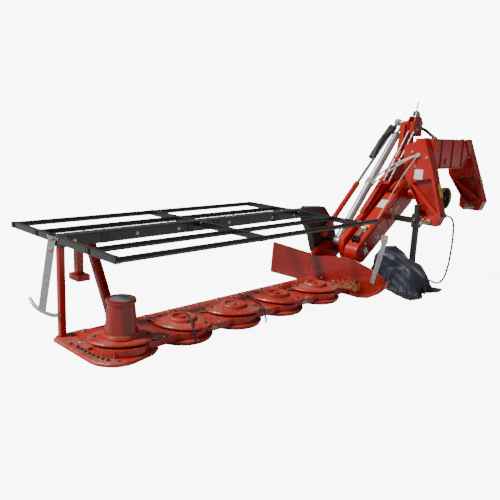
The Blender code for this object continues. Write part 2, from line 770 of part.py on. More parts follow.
def make_spring(paints):
    """The galvanised spring tube beside the arm, with an eye below and two rods up to the mast pin."""
    barrel = round_bar("spring_tube", SPRING_FOOT, SPRING_HEAD, SPRING_RADIUS, None, 28)
    low = ARM_REAR + GAP
    eye = round_bar(
        "spring_eye_shape",
        (SPRING_FOOT.x, low, SPRING_FOOT.z),
        (SPRING_FOOT.x, SPRING_Y + 0.022, SPRING_FOOT.z),
        SPRING_EYE_RADIUS,
        None,
        24,
    )
    join(barrel, eye)
    place(barrel, paints["zinc"], "carrier")
    run = (SPRING_HEAD - SPRING_FOOT).normalized()
    start = SPRING_HEAD + run * GAP
    end = Vector((MAST_TOP.x - 0.030, SPRING_Y, MAST_TOP.z - 0.010))
    rod = round_bar("spring_rod", start, end, SPRING_ROD_RADIUS, None, 14)
    place(rod, paints["zinc"], "carrier")


# ---- lift cylinder --------------------------------------------------------------------------------
def make_lift(paints):
    """The lift cylinder: a bored barrel on the guard arm and a rod that reaches the mast pin."""
    run = (MAST_TOP - LIFT_FOOT).normalized()
    mouth = LIFT_FOOT + run * LIFT_BARREL_LENGTH
    start = LIFT_FOOT + run * (LIFT_LUG_RADIUS + 0.004)
    barrel = round_bar("lift_barrel", start, mouth, LIFT_BARREL_RADIUS, None, 24)
    half = LIFT_EYE_WIDTH / 2
    eye = round_bar(
        "lift_foot_eye_shape",
        LIFT_FOOT - Vector((0, half, 0)),
        LIFT_FOOT + Vector((0, half, 0)),
        LIFT_EYE_RADIUS,
        None,
        24,
    )
    bore = round_bar(
        "lift_bore_cutter",
        mouth - run * LIFT_BORE_DEPTH,
        mouth + run * 0.05,
        LIFT_ROD_RADIUS + PIN_GAP,
        None,
        20,
    )
    join(barrel, eye)
    cut(barrel, bore)
    place(barrel, paints["red"], "lift_barrel")
    rod = round_bar("lift_rod", mouth - run * LIFT_ROD_OVERLAP, MAST_TOP, LIFT_ROD_RADIUS, None, 20)
    head = round_bar(
        "lift_rod_eye_shape",
        MAST_TOP - Vector((0, half, 0)),
        MAST_TOP + Vector((0, half, 0)),
        LIFT_EYE_RADIUS,
        None,
        24,
    )
    sleeve_end = MAST_TOP - run * 0.055
    sleeve = round_bar(
        "rod_sleeve_shape", sleeve_end - run * SLEEVE_LENGTH, sleeve_end, SLEEVE_RADIUS, None, 18
    )
    join(rod, head, sleeve)
    place(rod, paints["chrome"], "lift_rod")


# ---- headstock ------------------------------------------------------------------------------------
def make_leg(paints, name, side, bottom):
    """One leg of the headstock: deep at the top and leaning forwards, with a boss for its pin."""
    outline = [(-0.214, BEAM_TOP), (-0.038, BEAM_TOP - 0.070), (-0.038, 1.120), (-0.070, 0.930)]
    outline += [(-0.213, 0.700 if bottom < 0.56 else 0.740), (-0.213, bottom + 0.030), (-0.260, bottom)]
    outline += [(-0.400, bottom), (LEG_FRONT, bottom + 0.090), (-0.318, 0.998)]
    leg = plate(name, outline, "YZ", side, side + LEG_WIDTH, 0.006)
    place(leg, paints["red"], "headstock")


def make_headstock(paints):
    make_leg(paints, "hitch_leg_near", LEG_NEAR, NEAR_PIN_Z - 0.033)
    make_leg(paints, "hitch_leg_far", LEG_FAR, FAR_PIN_Z - 0.033)
    inside = LEG_NEAR + LEG_WIDTH + GAP
    beam = block(
        "hitch_beam",
        (inside, HITCH_BEAM_FRONT, BEAM_BOTTOM),
        (LEG_FAR - GAP, HITCH_BEAM_REAR, BEAM_TOP),
        0.008,
    )
    place(beam, paints["red"], "headstock")
    near = LEG_NEAR - GAP
    pin = round_bar(
        "hitch_pin_near",
        (near, PIN_Y, NEAR_PIN_Z),
        (near - PIN_REACH, PIN_Y, NEAR_PIN_Z),
        PIN_RADIUS,
        None,
        20,
    )
    place(pin, paints["zinc"], "headstock")
    for name, start, step in (
        ("hitch_pin_far_inner", LEG_FAR - GAP, -PIN_REACH),
        ("hitch_pin_far_outer", LEG_FAR + LEG_WIDTH + GAP, 0.090),
    ):
        root, tip = (start, PIN_Y, FAR_PIN_Z), (start + step, PIN_Y, FAR_PIN_Z)
        pin = round_bar(name, root, tip, PIN_RADIUS, None, 20)
        place(pin, paints["zinc"], "headstock")


def make_shaft_housing(paints):
    """The bearing tube along the upper pulley's axis, hung from the hitch beam, and its yellow guard cup."""
    housing = round_bar(
        "shaft_housing",
        (PULLEY_X, CUP_FRONT + CUP_DEPTH + GAP, PULLEY_Z),
        (PULLEY_X, BELT_FRONT - GAP, PULLEY_Z),
        SHAFT_TUBE_RADIUS,
        None,
        24,
    )
    hanger_low = (PULLEY_X - 0.065, -0.190, PULLEY_Z - 0.020)
    hanger_high = (PULLEY_X + 0.075, -0.130, BEAM_BOTTOM - GAP)
    join(housing, block("shaft_hanger_shape", hanger_low, hanger_high))
    place(housing, paints["red"], "headstock")
    cup = round_bar(
        "shaft_cup",
        (PULLEY_X, CUP_FRONT, PULLEY_Z),
        (PULLEY_X, CUP_FRONT + CUP_DEPTH, PULLEY_Z),
        CUP_RADIUS,
        CUP_RADIUS - 0.020,
        32,
    )
    hollow = round_bar(
        "cup_hollow_cutter",
        (PULLEY_X, CUP_FRONT - 0.02, PULLEY_Z),
        (PULLEY_X, CUP_FRONT + CUP_DEPTH - CUP_WALL, PULLEY_Z),
        CUP_RADIUS - CUP_WALL + 0.0045,
        CUP_RADIUS - 0.019 - CUP_WALL,
        32,
    )
    cut(cup, hollow)
    place(cup, paints["yellow"], "headstock")
    stub = round_bar(
        "shaft_stub",
        (PULLEY_X, CUP_FRONT + 0.010, PULLEY_Z),
        (PULLEY_X, CUP_FRONT + CUP_DEPTH - CUP_WALL - GAP, PULLEY_Z),
        0.018,
        None,
        12,
    )
    place(stub, paints["steel"], "headstock")


# ---- parking stand --------------------------------------------------------------------------------
def make_stand(paints):
    """A square sleeve with a bar behind it, and the post that slides in the sleeve."""
    half = POST_SIZE / 2 + PIN_GAP + SLEEVE_WALL
    sleeve = block(
        "stand_sleeve",
        (STAND_X - half, STAND_Y - half, STAND_SLEEVE_LOW),
        (STAND_X + half, STAND_Y + half, STAND_SLEEVE_HIGH),
    )
    bar = block(
        "stand_bar_shape",
        (STAND_X - 0.024, STAND_Y + half - 0.004, 0.535),
        (STAND_X + 0.024, -0.030, 0.585),
    )
    opening = POST_SIZE / 2 + PIN_GAP
    bore = block(
        "stand_bore_cutter",
        (STAND_X - opening, STAND_Y - opening, STAND_SLEEVE_LOW - 0.05),
        (STAND_X + opening, STAND_Y + opening, STAND_SLEEVE_HIGH + 0.05),
    )
    join(sleeve, bar)
    cut(sleeve, bore)
    place(sleeve, paints["black"], "headstock")
    size = POST_SIZE / 2
    post = block(
        "stand_post",
        (STAND_X - size, STAND_Y - size, FOOT_THICKNESS / 2),
        (STAND_X + size, STAND_Y + size, POST_TOP),
    )
    foot = FOOT_SIZE / 2
    foot_plate = block(
        "stand_foot_shape",
        (STAND_X - foot, STAND_Y - foot, 0.0),
        (STAND_X + foot, STAND_Y + foot, FOOT_THICKNESS),
    )
    join(post, foot_plate)
    place(post, paints["black"], "stand")


# ---- cloth and hose -------------------------------------------------------------------------------
def make_cloth(paints):
    """The guard's cloth, taken off and left folded in a heap in front of the belt guard."""
    outline = [(-0.020, 0.0), (-0.020, 0.330), (-0.060, 0.395), (-0.130, 0.380), (-0.260, 0.270)]
    outline += [(-0.420, 0.200), (-0.500, 0.110), (-0.500, 0.030), (-0.440, 0.0)]
    stand_side = STAND_X - FOOT_SIZE / 2
    heap = plate("guard_cloth", outline, "YZ", stand_side - GAP - CLOTH_WIDTH, stand_side - GAP)
    place(heap, paints["cloth"], "headstock")


def smooth_route(points, per_span):
    """Points along a smooth curve through the given ones."""
    ends = [2 * points[0] - points[1], *points, 2 * points[-1] - points[-2]]
    route = []
    for before, start, end, after in zip(ends, ends[1:], ends[2:], ends[3:]):
        for step in range(per_span):
            t = step / per_span
            route.append(
                0.5
                * (
                    2 * start
                    + (end - before) * t
                    + (2 * before - 5 * start + 4 * end - after) * t**2
                    + (3 * start - before - 3 * end + after) * t**3
                )
            )
    return [*route, points[-1]]


def make_hose(paints):
    """The lift hose: out of a clip on the near leg, down to the ground and along it to its coupling."""
    route = smooth_route([Vector(point) for point in HOSE_ROUTE], HOSE_POINTS_PER_SPAN)
    place(tube_curve("lift_hose", route, HOSE_RADIUS), paints["rubber"], "headstock")
    start = route[0]
    clip = block(
        "hose_clip",
        (start.x - 0.016, start.y + 2 * GAP, start.z - 0.016),
        (start.x + 0.016, LEG_FRONT - 0.0005, start.z + 0.016),
    )
    place(clip, paints["zinc"], "headstock")
    end = route[-1]
    heading = (route[-1] - route[-2]).normalized()
    coupling = round_bar("hose_coupling", end + heading * GAP, end + heading * 0.055, 0.0084, None, 12)
    place(coupling, paints["zinc"], "headstock")


# ---- the whole mower ------------------------------------------------------------------------------
def make_pivots():
    """An empty on each joint's axis. The headstock is the fixed body, and the rest hangs from it."""
    pivot("headstock", (0, 0, 0))
    pivot("stand", (STAND_X, STAND_Y, 0), "headstock")
    pivot("carrier", (PULLEY_X, ARM_FRONT, PULLEY_Z), "headstock")
    pivot("fold", (FOLD_X, ARM_FRONT, FOLD_Z), "carrier")
    for number, centre in enumerate(disc_centres()):
        pivot(f"disc_{number + 1}", (centre, 0, HUB_TOP), "fold")
    pivot("front_guard", (0, FRONT_HINGE_Y, HINGE_Z), "fold")
    pivot("rear_guard", (0, REAR_HINGE_Y, HINGE_Z), "fold")
    pivot("lift_barrel", LIFT_FOOT, "fold")
    pivot("lift_rod", MAST_TOP, "lift_barrel")


def stand_on_origin():
    """Move the mower so that the bottom centre of its bounding box, without the hose, is at the origin."""
    bpy.context.view_layer.update()
    graph = bpy.context.evaluated_depsgraph_get()
    corners = []
    for obj in bpy.data.collections["Disc mower"].objects:
        if obj.type != "MESH" or obj.name == "hose_coupling":
            continue
        solid = obj.evaluated_get(graph)
        corners += [solid.matrix_world @ point.co for point in solid.data.vertices]
    low = Vector(min(corner[axis] for corner in corners) for axis in range(3))
    high = Vector(max(corner[axis] for corner in corners) for axis in range(3))
    bottom_centre = Vector(((low.x + high.x) / 2, (low.y + high.y) / 2, low.z))
    bpy.data.objects["headstock_pivot"].location = -bottom_centre


def main():
    clear_scene()
    make_pivots()
    paints = make_paints()
    make_cutter_bar(paints)
    make_skids(paints)
    make_outer_shoe(paints)
    make_discs(paints)
    make_cone(paints)
    make_divider(paints)
    make_inner_shoe(paints)
    make_gearbox(paints)
    make_shoe_bar(paints)
    make_guard(paints)
    make_guard_supports(paints)
    make_hanger(paints)
    make_carrier_arm(paints)
    make_belt_guard(paints)
    make_mast_head(paints)
    make_spring(paints)
    make_lift(paints)
    make_headstock(paints)
    make_shaft_housing(paints)
    make_stand(paints)
    make_cloth(paints)
    make_hose(paints)
    stand_on_origin()


main()
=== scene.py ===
"""Finishes and details of a side-mounted disc mower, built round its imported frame.

Places are given in metres from the mower's own datum: the outermost disc's axis at ground level,
with X along the cutter bar towards the headstock, -Y the driving direction and Z up.
"""

import json
import math
import random

import bmesh
import bpy
import numpy as np
from bpy.props import FloatProperty, FloatVectorProperty, PointerProperty
from mathutils import Matrix, Vector

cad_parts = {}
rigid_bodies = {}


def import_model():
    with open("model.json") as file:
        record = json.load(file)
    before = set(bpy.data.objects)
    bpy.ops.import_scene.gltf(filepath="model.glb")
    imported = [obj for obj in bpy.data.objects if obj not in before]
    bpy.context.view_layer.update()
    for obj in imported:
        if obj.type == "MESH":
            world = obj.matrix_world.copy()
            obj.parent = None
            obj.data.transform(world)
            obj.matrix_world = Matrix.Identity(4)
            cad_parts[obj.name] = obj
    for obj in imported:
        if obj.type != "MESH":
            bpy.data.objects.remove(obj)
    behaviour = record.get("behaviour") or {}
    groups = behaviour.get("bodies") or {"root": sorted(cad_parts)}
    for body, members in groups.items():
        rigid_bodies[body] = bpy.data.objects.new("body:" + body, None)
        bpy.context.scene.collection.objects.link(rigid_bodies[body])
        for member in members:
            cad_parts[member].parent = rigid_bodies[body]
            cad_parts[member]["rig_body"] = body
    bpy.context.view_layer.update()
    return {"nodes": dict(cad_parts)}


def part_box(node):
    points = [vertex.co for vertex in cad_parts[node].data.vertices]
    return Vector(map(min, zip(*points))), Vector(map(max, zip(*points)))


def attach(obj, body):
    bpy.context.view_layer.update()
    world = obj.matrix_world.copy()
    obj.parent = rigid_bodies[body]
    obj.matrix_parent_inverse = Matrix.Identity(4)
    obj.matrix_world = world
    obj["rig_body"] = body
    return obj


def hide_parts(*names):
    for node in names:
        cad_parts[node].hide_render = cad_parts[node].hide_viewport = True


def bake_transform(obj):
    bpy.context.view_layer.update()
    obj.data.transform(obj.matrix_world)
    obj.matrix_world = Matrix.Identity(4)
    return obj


bl_info = {
    "name": "Disc mower finishes",
    "version": (1, 0, 0),
    "blender": (4, 5, 0),
    "location": "3D View > Sidebar > Mower",
    "description": "Paint, wear and small fittings for a side-mounted disc mower",
    "category": "Object",
}

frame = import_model()


def middle(node):
    low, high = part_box(node)
    return (Vector(low) + Vector(high)) / 2


DATUM = Vector((middle("crop_cone").x, middle("crop_cone").y, 0.0))
DISC_PITCH = (middle("disc_2") - middle("disc_1")).x
DISC_COUNT = 5


def at(x, y, z):
    """A point given from the mower's datum, in the world."""
    return DATUM + Vector((x, y, z))


def low_of(node):
    """A node's lowest corner, from the datum."""
    return Vector(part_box(node)[0]) - DATUM


def high_of(node):
    """A node's highest corner, from the datum."""
    return Vector(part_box(node)[1]) - DATUM


# ---- settings --------------------
def colour(name, default, description):
    return FloatVectorProperty(
        name=name, description=description, default=default, subtype="COLOR", size=3, min=0, max=1
    )


def length(name, default, description):
    return FloatProperty(name=name, description=description, default=default, unit="LENGTH", min=0)


class MowerColours(bpy.types.PropertyGroup):
    """The colours of the mower's paints and bare materials."""

    red: colour("Red paint", (0.46, 0.010, 0.005), "Sound paint on the bar, arm and headstock")
    faded: colour("Faded red", (0.40, 0.020, 0.012), "The same paint where sun and crop have dulled it")
    black: colour("Black paint", (0.010, 0.010, 0.012), "Paint on the guard frame and the stand")
    dust: colour("Dust", (0.30, 0.22, 0.15), "Dry soil that lies on upward faces")
    steel: colour("Bare steel", (0.33, 0.29, 0.25), "Where the paint has worn through")
    rust: colour("Rust", (0.16, 0.055, 0.022), "Rust on the knives and bolts")
    zinc: colour("Zinc", (0.56, 0.58, 0.59), "Galvanised tubes and bars")
    yellow: colour("Yellow plastic", (0.62, 0.47, 0.13), "The drive shaft's guard cup")
    cloth: colour("Guard cloth", (0.006, 0.009, 0.022), "The folded cloth's dark blue")


class MowerSizes(bpy.types.PropertyGroup):
    """Sizes of small fittings that repeat over the mower."""

    bolt: length("Bolt head", 0.019, "Width across the flats of a common bolt head")
    small_bolt: length("Small bolt head", 0.013, "Width across the flats of a small bolt head")
    label: length("Label thickness", 0.0006, "How far a blank label stands proud")
    rope: length("Rope", 0.0155, "Diameter of the pull ropes")


class MowerStage(bpy.types.PropertyGroup):
    """The light and the floor."""

    key: FloatProperty(name="Key light", description="Strength of the main light", default=5.0, min=0)
    fill: FloatProperty(name="Fill light", description="Power of the front light", default=26, min=0)
    sky: FloatProperty(name="Sky", description="Strength of the even light all round", default=0.15, min=0)
    lens: FloatProperty(
        name="Lens", description="The camera's focal length", default=41.67, unit="CAMERA", min=1
    )


def colours():
    return bpy.context.scene.mower_colours


def sizes():
    return bpy.context.scene.mower_sizes


# ---- node trees --------------------
def add_node(tree, kind, inputs=(), **settings):
    """A new node with its settings and its inputs, each a value or another node's output."""
    node = tree.nodes.new(kind)
    for name, value in settings.items():
        setattr(node, name, value)
    for key, value in dict(inputs).items():
        if isinstance(value, bpy.types.NodeSocket):
            tree.links.new(value, node.inputs[key])
        else:
            node.inputs[key].default_value = value
    return node


def math_node(tree, operation, first, second, clamp=False):
    inputs = {0: first, 1: second}
    return add_node(tree, "ShaderNodeMath", inputs, operation=operation, use_clamp=clamp).outputs[0]


def times(tree, first, second, clamp=False):
    return math_node(tree, "MULTIPLY", first, second, clamp)


def plus(tree, first, second, clamp=False):
    return math_node(tree, "ADD", first, second, clamp)


def minus(tree, first, second, clamp=False):
    return math_node(tree, "SUBTRACT", first, second, clamp)


def mix_colour(tree, amount, first, second, blend="MIX"):
    node = add_node(
        tree, "ShaderNodeMix", {0: amount, 6: first, 7: second}, data_type="RGBA", blend_type=blend
    )
    return node.outputs[2]


def noise(tree, vector, scale, detail=3.0, roughness=0.55):
    inputs = {"Vector": vector, "Scale": scale, "Detail": detail, "Roughness": roughness}
    return add_node(tree, "ShaderNodeTexNoise", inputs).outputs["Fac"]


def threshold(tree, value, low, high):
    """0 below low, 1 above high, and a smooth step between them."""
    inputs = {"Value": value, "From Min": low, "From Max": high}
    node = add_node(tree, "ShaderNodeMapRange", inputs, interpolation_type="SMOOTHSTEP")
    return node.outputs["Result"]


def rgba(value):
    return (*value[:3], 1.0)


RESULTS = ("Color", "Roughness", "Metallic", "Height")


def new_group(name, inputs):
    """An empty shader group with its named inputs, and a surface's colour, roughness, metal and relief."""
    group = bpy.data.node_groups.new(name, "ShaderNodeTree")
    for label, kind, default in inputs:
        socket = group.interface.new_socket(label, in_out="INPUT", socket_type=f"NodeSocket{kind}")
        if default is not None:
            socket.default_value = default
    for label in RESULTS:
        kind = "Color" if label == "Color" else "Float"
        group.interface.new_socket(label, in_out="OUTPUT", socket_type=f"NodeSocket{kind}")
    return group, group.nodes.new("NodeGroupInput"), group.nodes.new("NodeGroupOutput")


def filled(tree, result, *found):
    """A group with its four results led out."""
    for label, value in zip(RESULTS, found):
        tree.links.new(value, result.inputs[label])
    return tree


def weathering_group():
    """Paint that has faded, gathered dust on its upward faces and chipped to bare metal."""
    name = "Weathered paint"
    if name in bpy.data.node_groups:
        return bpy.data.node_groups[name]
    tree, given, result = new_group(
        name,
        (
            ("Vector", "Vector", None),
            ("Paint", "Color", (0.5, 0.02, 0.01, 1)),
            ("Faded", "Color", (0.4, 0.03, 0.02, 1)),
            ("Dust", "Color", (0.3, 0.2, 0.15, 1)),
            ("Bare", "Color", (0.3, 0.3, 0.3, 1)),
            ("Fading", "Float", 0.5),
            ("Dustiness", "Float", 0.3),
            ("Chipping", "Float", 0.2),
            ("Gloss", "Float", 0.3),
        ),
    )
    place = given.outputs["Vector"]
    broad = noise(tree, place, 2.2, 4)
    cloudy = noise(tree, place, 9.0, 5, 0.62)
    fine = noise(tree, place, 55.0, 4, 0.6)
    grain = noise(tree, place, 420.0, 2)
    fade = times(tree, threshold(tree, broad, 0.35, 0.72), given.outputs["Fading"], True)
    base = mix_colour(tree, fade, given.outputs["Paint"], given.outputs["Faded"])
    spread = {"Value": cloudy, "From Min": 0.25, "From Max": 0.75, "To Min": 0.86, "To Max": 1.10}
    mottle = add_node(tree, "ShaderNodeMapRange", spread).outputs["Result"]
    grey = add_node(tree, "ShaderNodeCombineColor", {0: mottle, 1: mottle, 2: mottle}).outputs[0]
    base = mix_colour(tree, 1.0, base, grey, "MULTIPLY")
    normal = add_node(tree, "ShaderNodeNewGeometry").outputs["Normal"]
    upward = add_node(tree, "ShaderNodeSeparateXYZ", {0: normal}).outputs["Z"]
    lying = threshold(tree, upward, 0.15, 0.95)
    uneven = plus(tree, times(tree, cloudy, 0.6), times(tree, fine, 0.4))
    patchy = threshold(tree, uneven, 0.38, 0.66)
    settled = times(tree, plus(tree, times(tree, lying, 0.8), 0.2), patchy)
    dusty = times(tree, settled, given.outputs["Dustiness"], True)
    base = mix_colour(tree, dusty, base, given.outputs["Dust"])
    flakes = {"Vector": place, "Scale": 85.0, "Randomness": 1.0}
    worn = add_node(tree, "ShaderNodeTexVoronoi", flakes).outputs["Distance"]
    ragged = plus(tree, worn, times(tree, fine, -0.55))
    patch = times(tree, threshold(tree, cloudy, 0.50, 0.60), given.outputs["Chipping"])
    level = minus(tree, times(tree, patch, 0.30), 0.24)
    chip = threshold(tree, minus(tree, level, ragged), 0.0, 0.03)
    drawn_out = {"Vector": place, "Scale": (1.0, 6.0, 9.0), "Rotation": (0.3, 0.5, 0.2)}
    scratches = add_node(tree, "ShaderNodeMapping", drawn_out).outputs[0]
    streak = noise(tree, scratches, 32.0, 6, 0.7)
    scratch = times(tree, threshold(tree, streak, 0.70, 0.74), given.outputs["Chipping"], True)
    bare = math_node(tree, "MAXIMUM", chip, scratch, True)
    base = mix_colour(tree, bare, base, given.outputs["Bare"])
    rough = plus(tree, given.outputs["Gloss"], times(tree, dusty, 0.5))
    rough = plus(tree, rough, times(tree, fine, 0.10), True)
    height = minus(tree, times(tree, grain, 0.10), times(tree, bare, 0.5))
    height = plus(tree, height, times(tree, cloudy, 0.25))
    return filled(tree, result, base, rough, times(tree, bare, 0.75), height)


def metal_group():
    """Bare metal with cells of brightness, as on zinc, and rust or stain that comes through in patches."""
    name = "Stained metal"
    if name in bpy.data.node_groups:
        return bpy.data.node_groups[name]
    tree, given, result = new_group(
        name,
        (
            ("Vector", "Vector", None),
            ("Metal", "Color", (0.5, 0.5, 0.5, 1)),
            ("Stain", "Color", (0.2, 0.1, 0.05, 1)),
            ("Staining", "Float", 0.3),
            ("Spangle", "Float", 0.3),
            ("Gloss", "Float", 0.35),
        ),
    )
    place = given.outputs["Vector"]
    cells = add_node(tree, "ShaderNodeTexVoronoi", {"Vector": place, "Scale": 95.0}).outputs["Color"]
    bright = add_node(tree, "ShaderNodeSeparateColor", {0: cells}).outputs[0]
    cloudy = noise(tree, place, 14.0, 5, 0.6)
    fine = noise(tree, place, 130.0, 4, 0.6)
    shade = times(tree, minus(tree, bright, 0.5), given.outputs["Spangle"])
    shade = plus(tree, shade, times(tree, cloudy, 0.35))
    shade = plus(tree, shade, 0.80)
    grey = add_node(tree, "ShaderNodeCombineColor", {0: shade, 1: shade, 2: shade}).outputs[0]
    base = mix_colour(tree, 1.0, given.outputs["Metal"], grey, "MULTIPLY")
    spread = plus(tree, times(tree, cloudy, 0.7), times(tree, fine, 0.3))
    edge = minus(tree, 0.82, times(tree, given.outputs["Staining"], 0.55))
    stain = threshold(tree, minus(tree, spread, edge), 0.0, 0.12)
    base = mix_colour(tree, stain, base, given.outputs["Stain"])
    rough = plus(tree, given.outputs["Gloss"], times(tree, stain, 0.4))
    rough = plus(tree, rough, times(tree, fine, 0.12), True)
    metal = minus(tree, 0.95, times(tree, stain, 0.8), True)
    height = plus(tree, times(tree, fine, 0.3), times(tree, stain, 0.4))
    return filled(tree, result, base, rough, metal, height)


def start_material(name):
    """A material that exists already, or a new one with only its shader."""
    if name in bpy.data.materials:
        return bpy.data.materials[name], None, None
    made = bpy.data.materials.new(name)
    made.use_nodes = True
    return made, made.node_tree, made.node_tree.nodes["Principled BSDF"]


def grouped_material(name, group, values, bump=0.3, bump_reach=0.001, coat=0.0, sheen=0.0):
    """A material whose colour, roughness, metal and bump come from a shared group."""
    made, tree, shader = start_material(name)
    if tree is None:
        return made
    place = add_node(tree, "ShaderNodeTexCoord").outputs["Object"]
    effect = tree.nodes.new("ShaderNodeGroup")
    effect.node_tree = group
    tree.links.new(place, effect.inputs["Vector"])
    for label, value in values.items():
        effect.inputs[label].default_value = value
    tree.links.new(effect.outputs["Color"], shader.inputs["Base Color"])
    tree.links.new(effect.outputs["Roughness"], shader.inputs["Roughness"])
    tree.links.new(effect.outputs["Metallic"], shader.inputs["Metallic"])
    relief = add_node(
        tree, "ShaderNodeBump", {
            "Height": effect.outputs["Height"], "Strength": bump, "Distance": bump_reach
        }
    )
    tree.links.new(relief.outputs["Normal"], shader.inputs["Normal"])
    shader.inputs["Coat Weight"].default_value = coat
    shader.inputs["Coat Roughness"].default_value = 0.12
    shader.inputs["Sheen Weight"].default_value = sheen
    return made


def paint(name, sound, faded, fading, dustiness, chipping, gloss, coat=0.25, bare=None):
    """Paint of one colour at one state of wear."""
    palette = colours()
    values = {
        "Paint": rgba(sound),
        "Faded": rgba(faded),
        "Dust": rgba(palette.dust),
        "Bare": rgba(bare or palette.steel),
        "Fading": fading,
        "Dustiness": dustiness,
        "Chipping": chipping,
        "Gloss": gloss,
    }
    return grouped_material(name, weathering_group(), values, 0.25, 0.0012, coat)


def metal(name, shade, stain, staining, spangle, gloss, bump=0.25):
    """Bare or galvanised metal at one state of staining."""
    values = {
        "Metal": rgba(shade),
        "Stain": rgba(stain),
        "Staining": staining,
        "Spangle": spangle,
        "Gloss": gloss,
    }
    return grouped_material(name, metal_group(), values, bump, 0.0008)


def finish(name):
    """A finish of the mower, by name."""
    palette = colours()
    red, faded, black = palette.red, palette.faded, palette.black
    rubber = (0.03, 0.03, 0.03)
    painted = {
        "red": ("Red paint", red, faded, 0.5, 0.05, 0.08, 0.22),
        "scuffed red": ("Scuffed red paint", red, faded, 0.9, 0.22, 0.75, 0.30),
        "worn red": ("Worn red paint", red, faded, 1.0, 0.40, 1.15, 0.36, 0.12),
        # A darker red that paints in shade: on the crop cone, the divider and the legs' sunk webs.
        "cone red": (
            "Painted shade red paint", (0.27, 0.008, 0.004), (0.21, 0.010, 0.007), 0.6, 0.02, 0.05, 0.20, 0.40,
        ),
        "black": ("Black paint", black, (0.018, 0.016, 0.014), 0.7, 0.05, 0.16, 0.20, 0.35),
        "dusty black": ("Dusty black paint", black, (0.030, 0.026, 0.020), 1.0, 0.26, 0.30, 0.32, 0.10),
        "white label": (
            "Blank white label", (0.74, 0.75, 0.76), (0.60, 0.60, 0.58), 0.6, 0.15, 0.10, 0.35, 0.1,
        ),
        "yellow label": (
            "Blank yellow label", (0.72, 0.48, 0.06), (0.55, 0.42, 0.16), 0.6, 0.18, 0.10, 0.35, 0.1,
        ),
        "grey cap": (
            "Grey plastic cap", (0.10, 0.115, 0.125), (0.16, 0.17, 0.18), 0.8, 0.35, 0.0, 0.45, 0.0,
        ),
        "yellow plastic": (
            "Yellow plastic", palette.yellow, (0.66, 0.56, 0.28), 0.7, 0.18, 0.05, 0.42, 0.0
        ),
        "dark plastic": (
            "Dark plastic", (0.022, 0.024, 0.014), (0.05, 0.05, 0.03), 0.6, 0.15, 0.0, 0.5, 0.0
        ),
        "black rubber": ("Black rubber", (0.010, 0.010, 0.011), rubber, 0.6, 0.22, 0.0, 0.55, 0.0, rubber),
        "braided hose": (
            "Rubber hose", (0.012, 0.012, 0.013), (0.035, 0.034, 0.032), 0.7, 0.25, 0.0, 0.48, 0.0, rubber,
        ),
        "straw": ("Dry straw", (0.52, 0.40, 0.18), (0.36, 0.25, 0.10), 0.9, 0.0, 0.0, 0.75, 0.0),
        "rope": ("Twisted rope", (0.60, 0.57, 0.50), (0.42, 0.38, 0.31), 0.8, 0.25, 0.0, 0.85, 0.0),
    }
    metals = {
        "zinc": ("Galvanised steel", palette.zinc, (0.30, 0.29, 0.27), 0.30, 0.30, 0.34),
        "bright bolt": ("Plated bolts", (0.62, 0.60, 0.52), palette.rust, 0.42, 0.15, 0.28),
        "rusty steel": ("Rusty steel", palette.steel, palette.rust, 0.85, 0.10, 0.42),
        "worn steel": ("Worn blade steel", (0.48, 0.45, 0.41), palette.rust, 0.62, 0.08, 0.32),
        "chrome": ("Chromed rod", (0.78, 0.79, 0.80), (0.50, 0.50, 0.50), 0.10, 0.03, 0.09, 0.05),
    }
    if name in painted:
        return paint(*painted[name])
    if name in metals:
        return metal(*metals[name])
    if name == "guard cloth":
        return cloth_finish()
    raise ValueError(f"no finish is named {name}")


def cloth_finish():
    """Coated woven cloth: fine crossing threads, creases rubbed paler and a little dust."""
    made, tree, shader = start_material("Guard cloth")
    if tree is None:
        return made
    palette = colours()
    place = add_node(tree, "ShaderNodeTexCoord").outputs["Object"]
    flat = add_node(tree, "ShaderNodeUVMap", uv_map="Flat").outputs["UV"]
    threads = []
    for direction in ("X", "Y"):
        inputs = {"Vector": flat, "Scale": 150.0, "Distortion": 1.2}
        wave = add_node(tree, "ShaderNodeTexWave", inputs, bands_direction=direction)
        threads.append(wave.outputs["Fac"])
    weave = times(tree, threads[0], threads[1])
    cloudy = noise(tree, place, 7.0, 5, 0.6)
    rubbed = threshold(tree, cloudy, 0.52, 0.70)
    base = mix_colour(tree, rubbed, rgba(palette.cloth), (0.016, 0.022, 0.042, 1))
    dusty = times(tree, threshold(tree, noise(tree, place, 26.0, 6, 0.7), 0.55, 0.72), 0.20)
    base = mix_colour(tree, dusty, base, (0.16, 0.14, 0.12, 1))
    tree.links.new(base, shader.inputs["Base Color"])
    rough = plus(tree, times(tree, cloudy, 0.25), 0.42)
    tree.links.new(rough, shader.inputs["Roughness"])
    height = plus(tree, times(tree, weave, 0.4), cloudy)
    relief = add_node(tree, "ShaderNodeBump", {"Height": height, "Strength": 0.35, "Distance": 0.0015})
    tree.links.new(relief.outputs["Normal"], shader.inputs["Normal"])
    shader.inputs["Sheen Weight"].default_value = 0.15
    shader.inputs["Coat Weight"].default_value = 0.08
    return made


# ---- mesh tools --------------------
def begin():
    return bmesh.new()


def turn_to(axis):
    """The rotation that turns +Z to an axis."""
    return Vector(axis).to_track_quat("Z", "Y").to_matrix().to_4x4()


def add_box(shape, low, high, rounding=0.0, segments=2):
    """A box between two corners, given from the datum."""
    low, high = Vector(low), Vector(high)
    size = high - low
    where = Matrix.Translation(at(*((low + high) / 2)))
    made = bmesh.ops.create_cube(shape, size=1.0, matrix=where @ Matrix.Diagonal((*size, 1.0)))
    round_edges(shape, made["verts"], rounding, segments)
    return made["verts"]


def bevel(shape, edges, width, segments=2):
    bmesh.ops.bevel(
        shape, geom=edges, offset=width, offset_type="OFFSET", segments=segments, profile=0.5,
        affect="EDGES", material=-1, clamp_overlap=True,
    )


def face_outwards(shape, verts):
    """Turn the faces round these points outwards."""
    faces = list(dict.fromkeys(face for vert in verts for face in vert.link_faces))
    bmesh.ops.recalc_face_normals(shape, faces=faces)


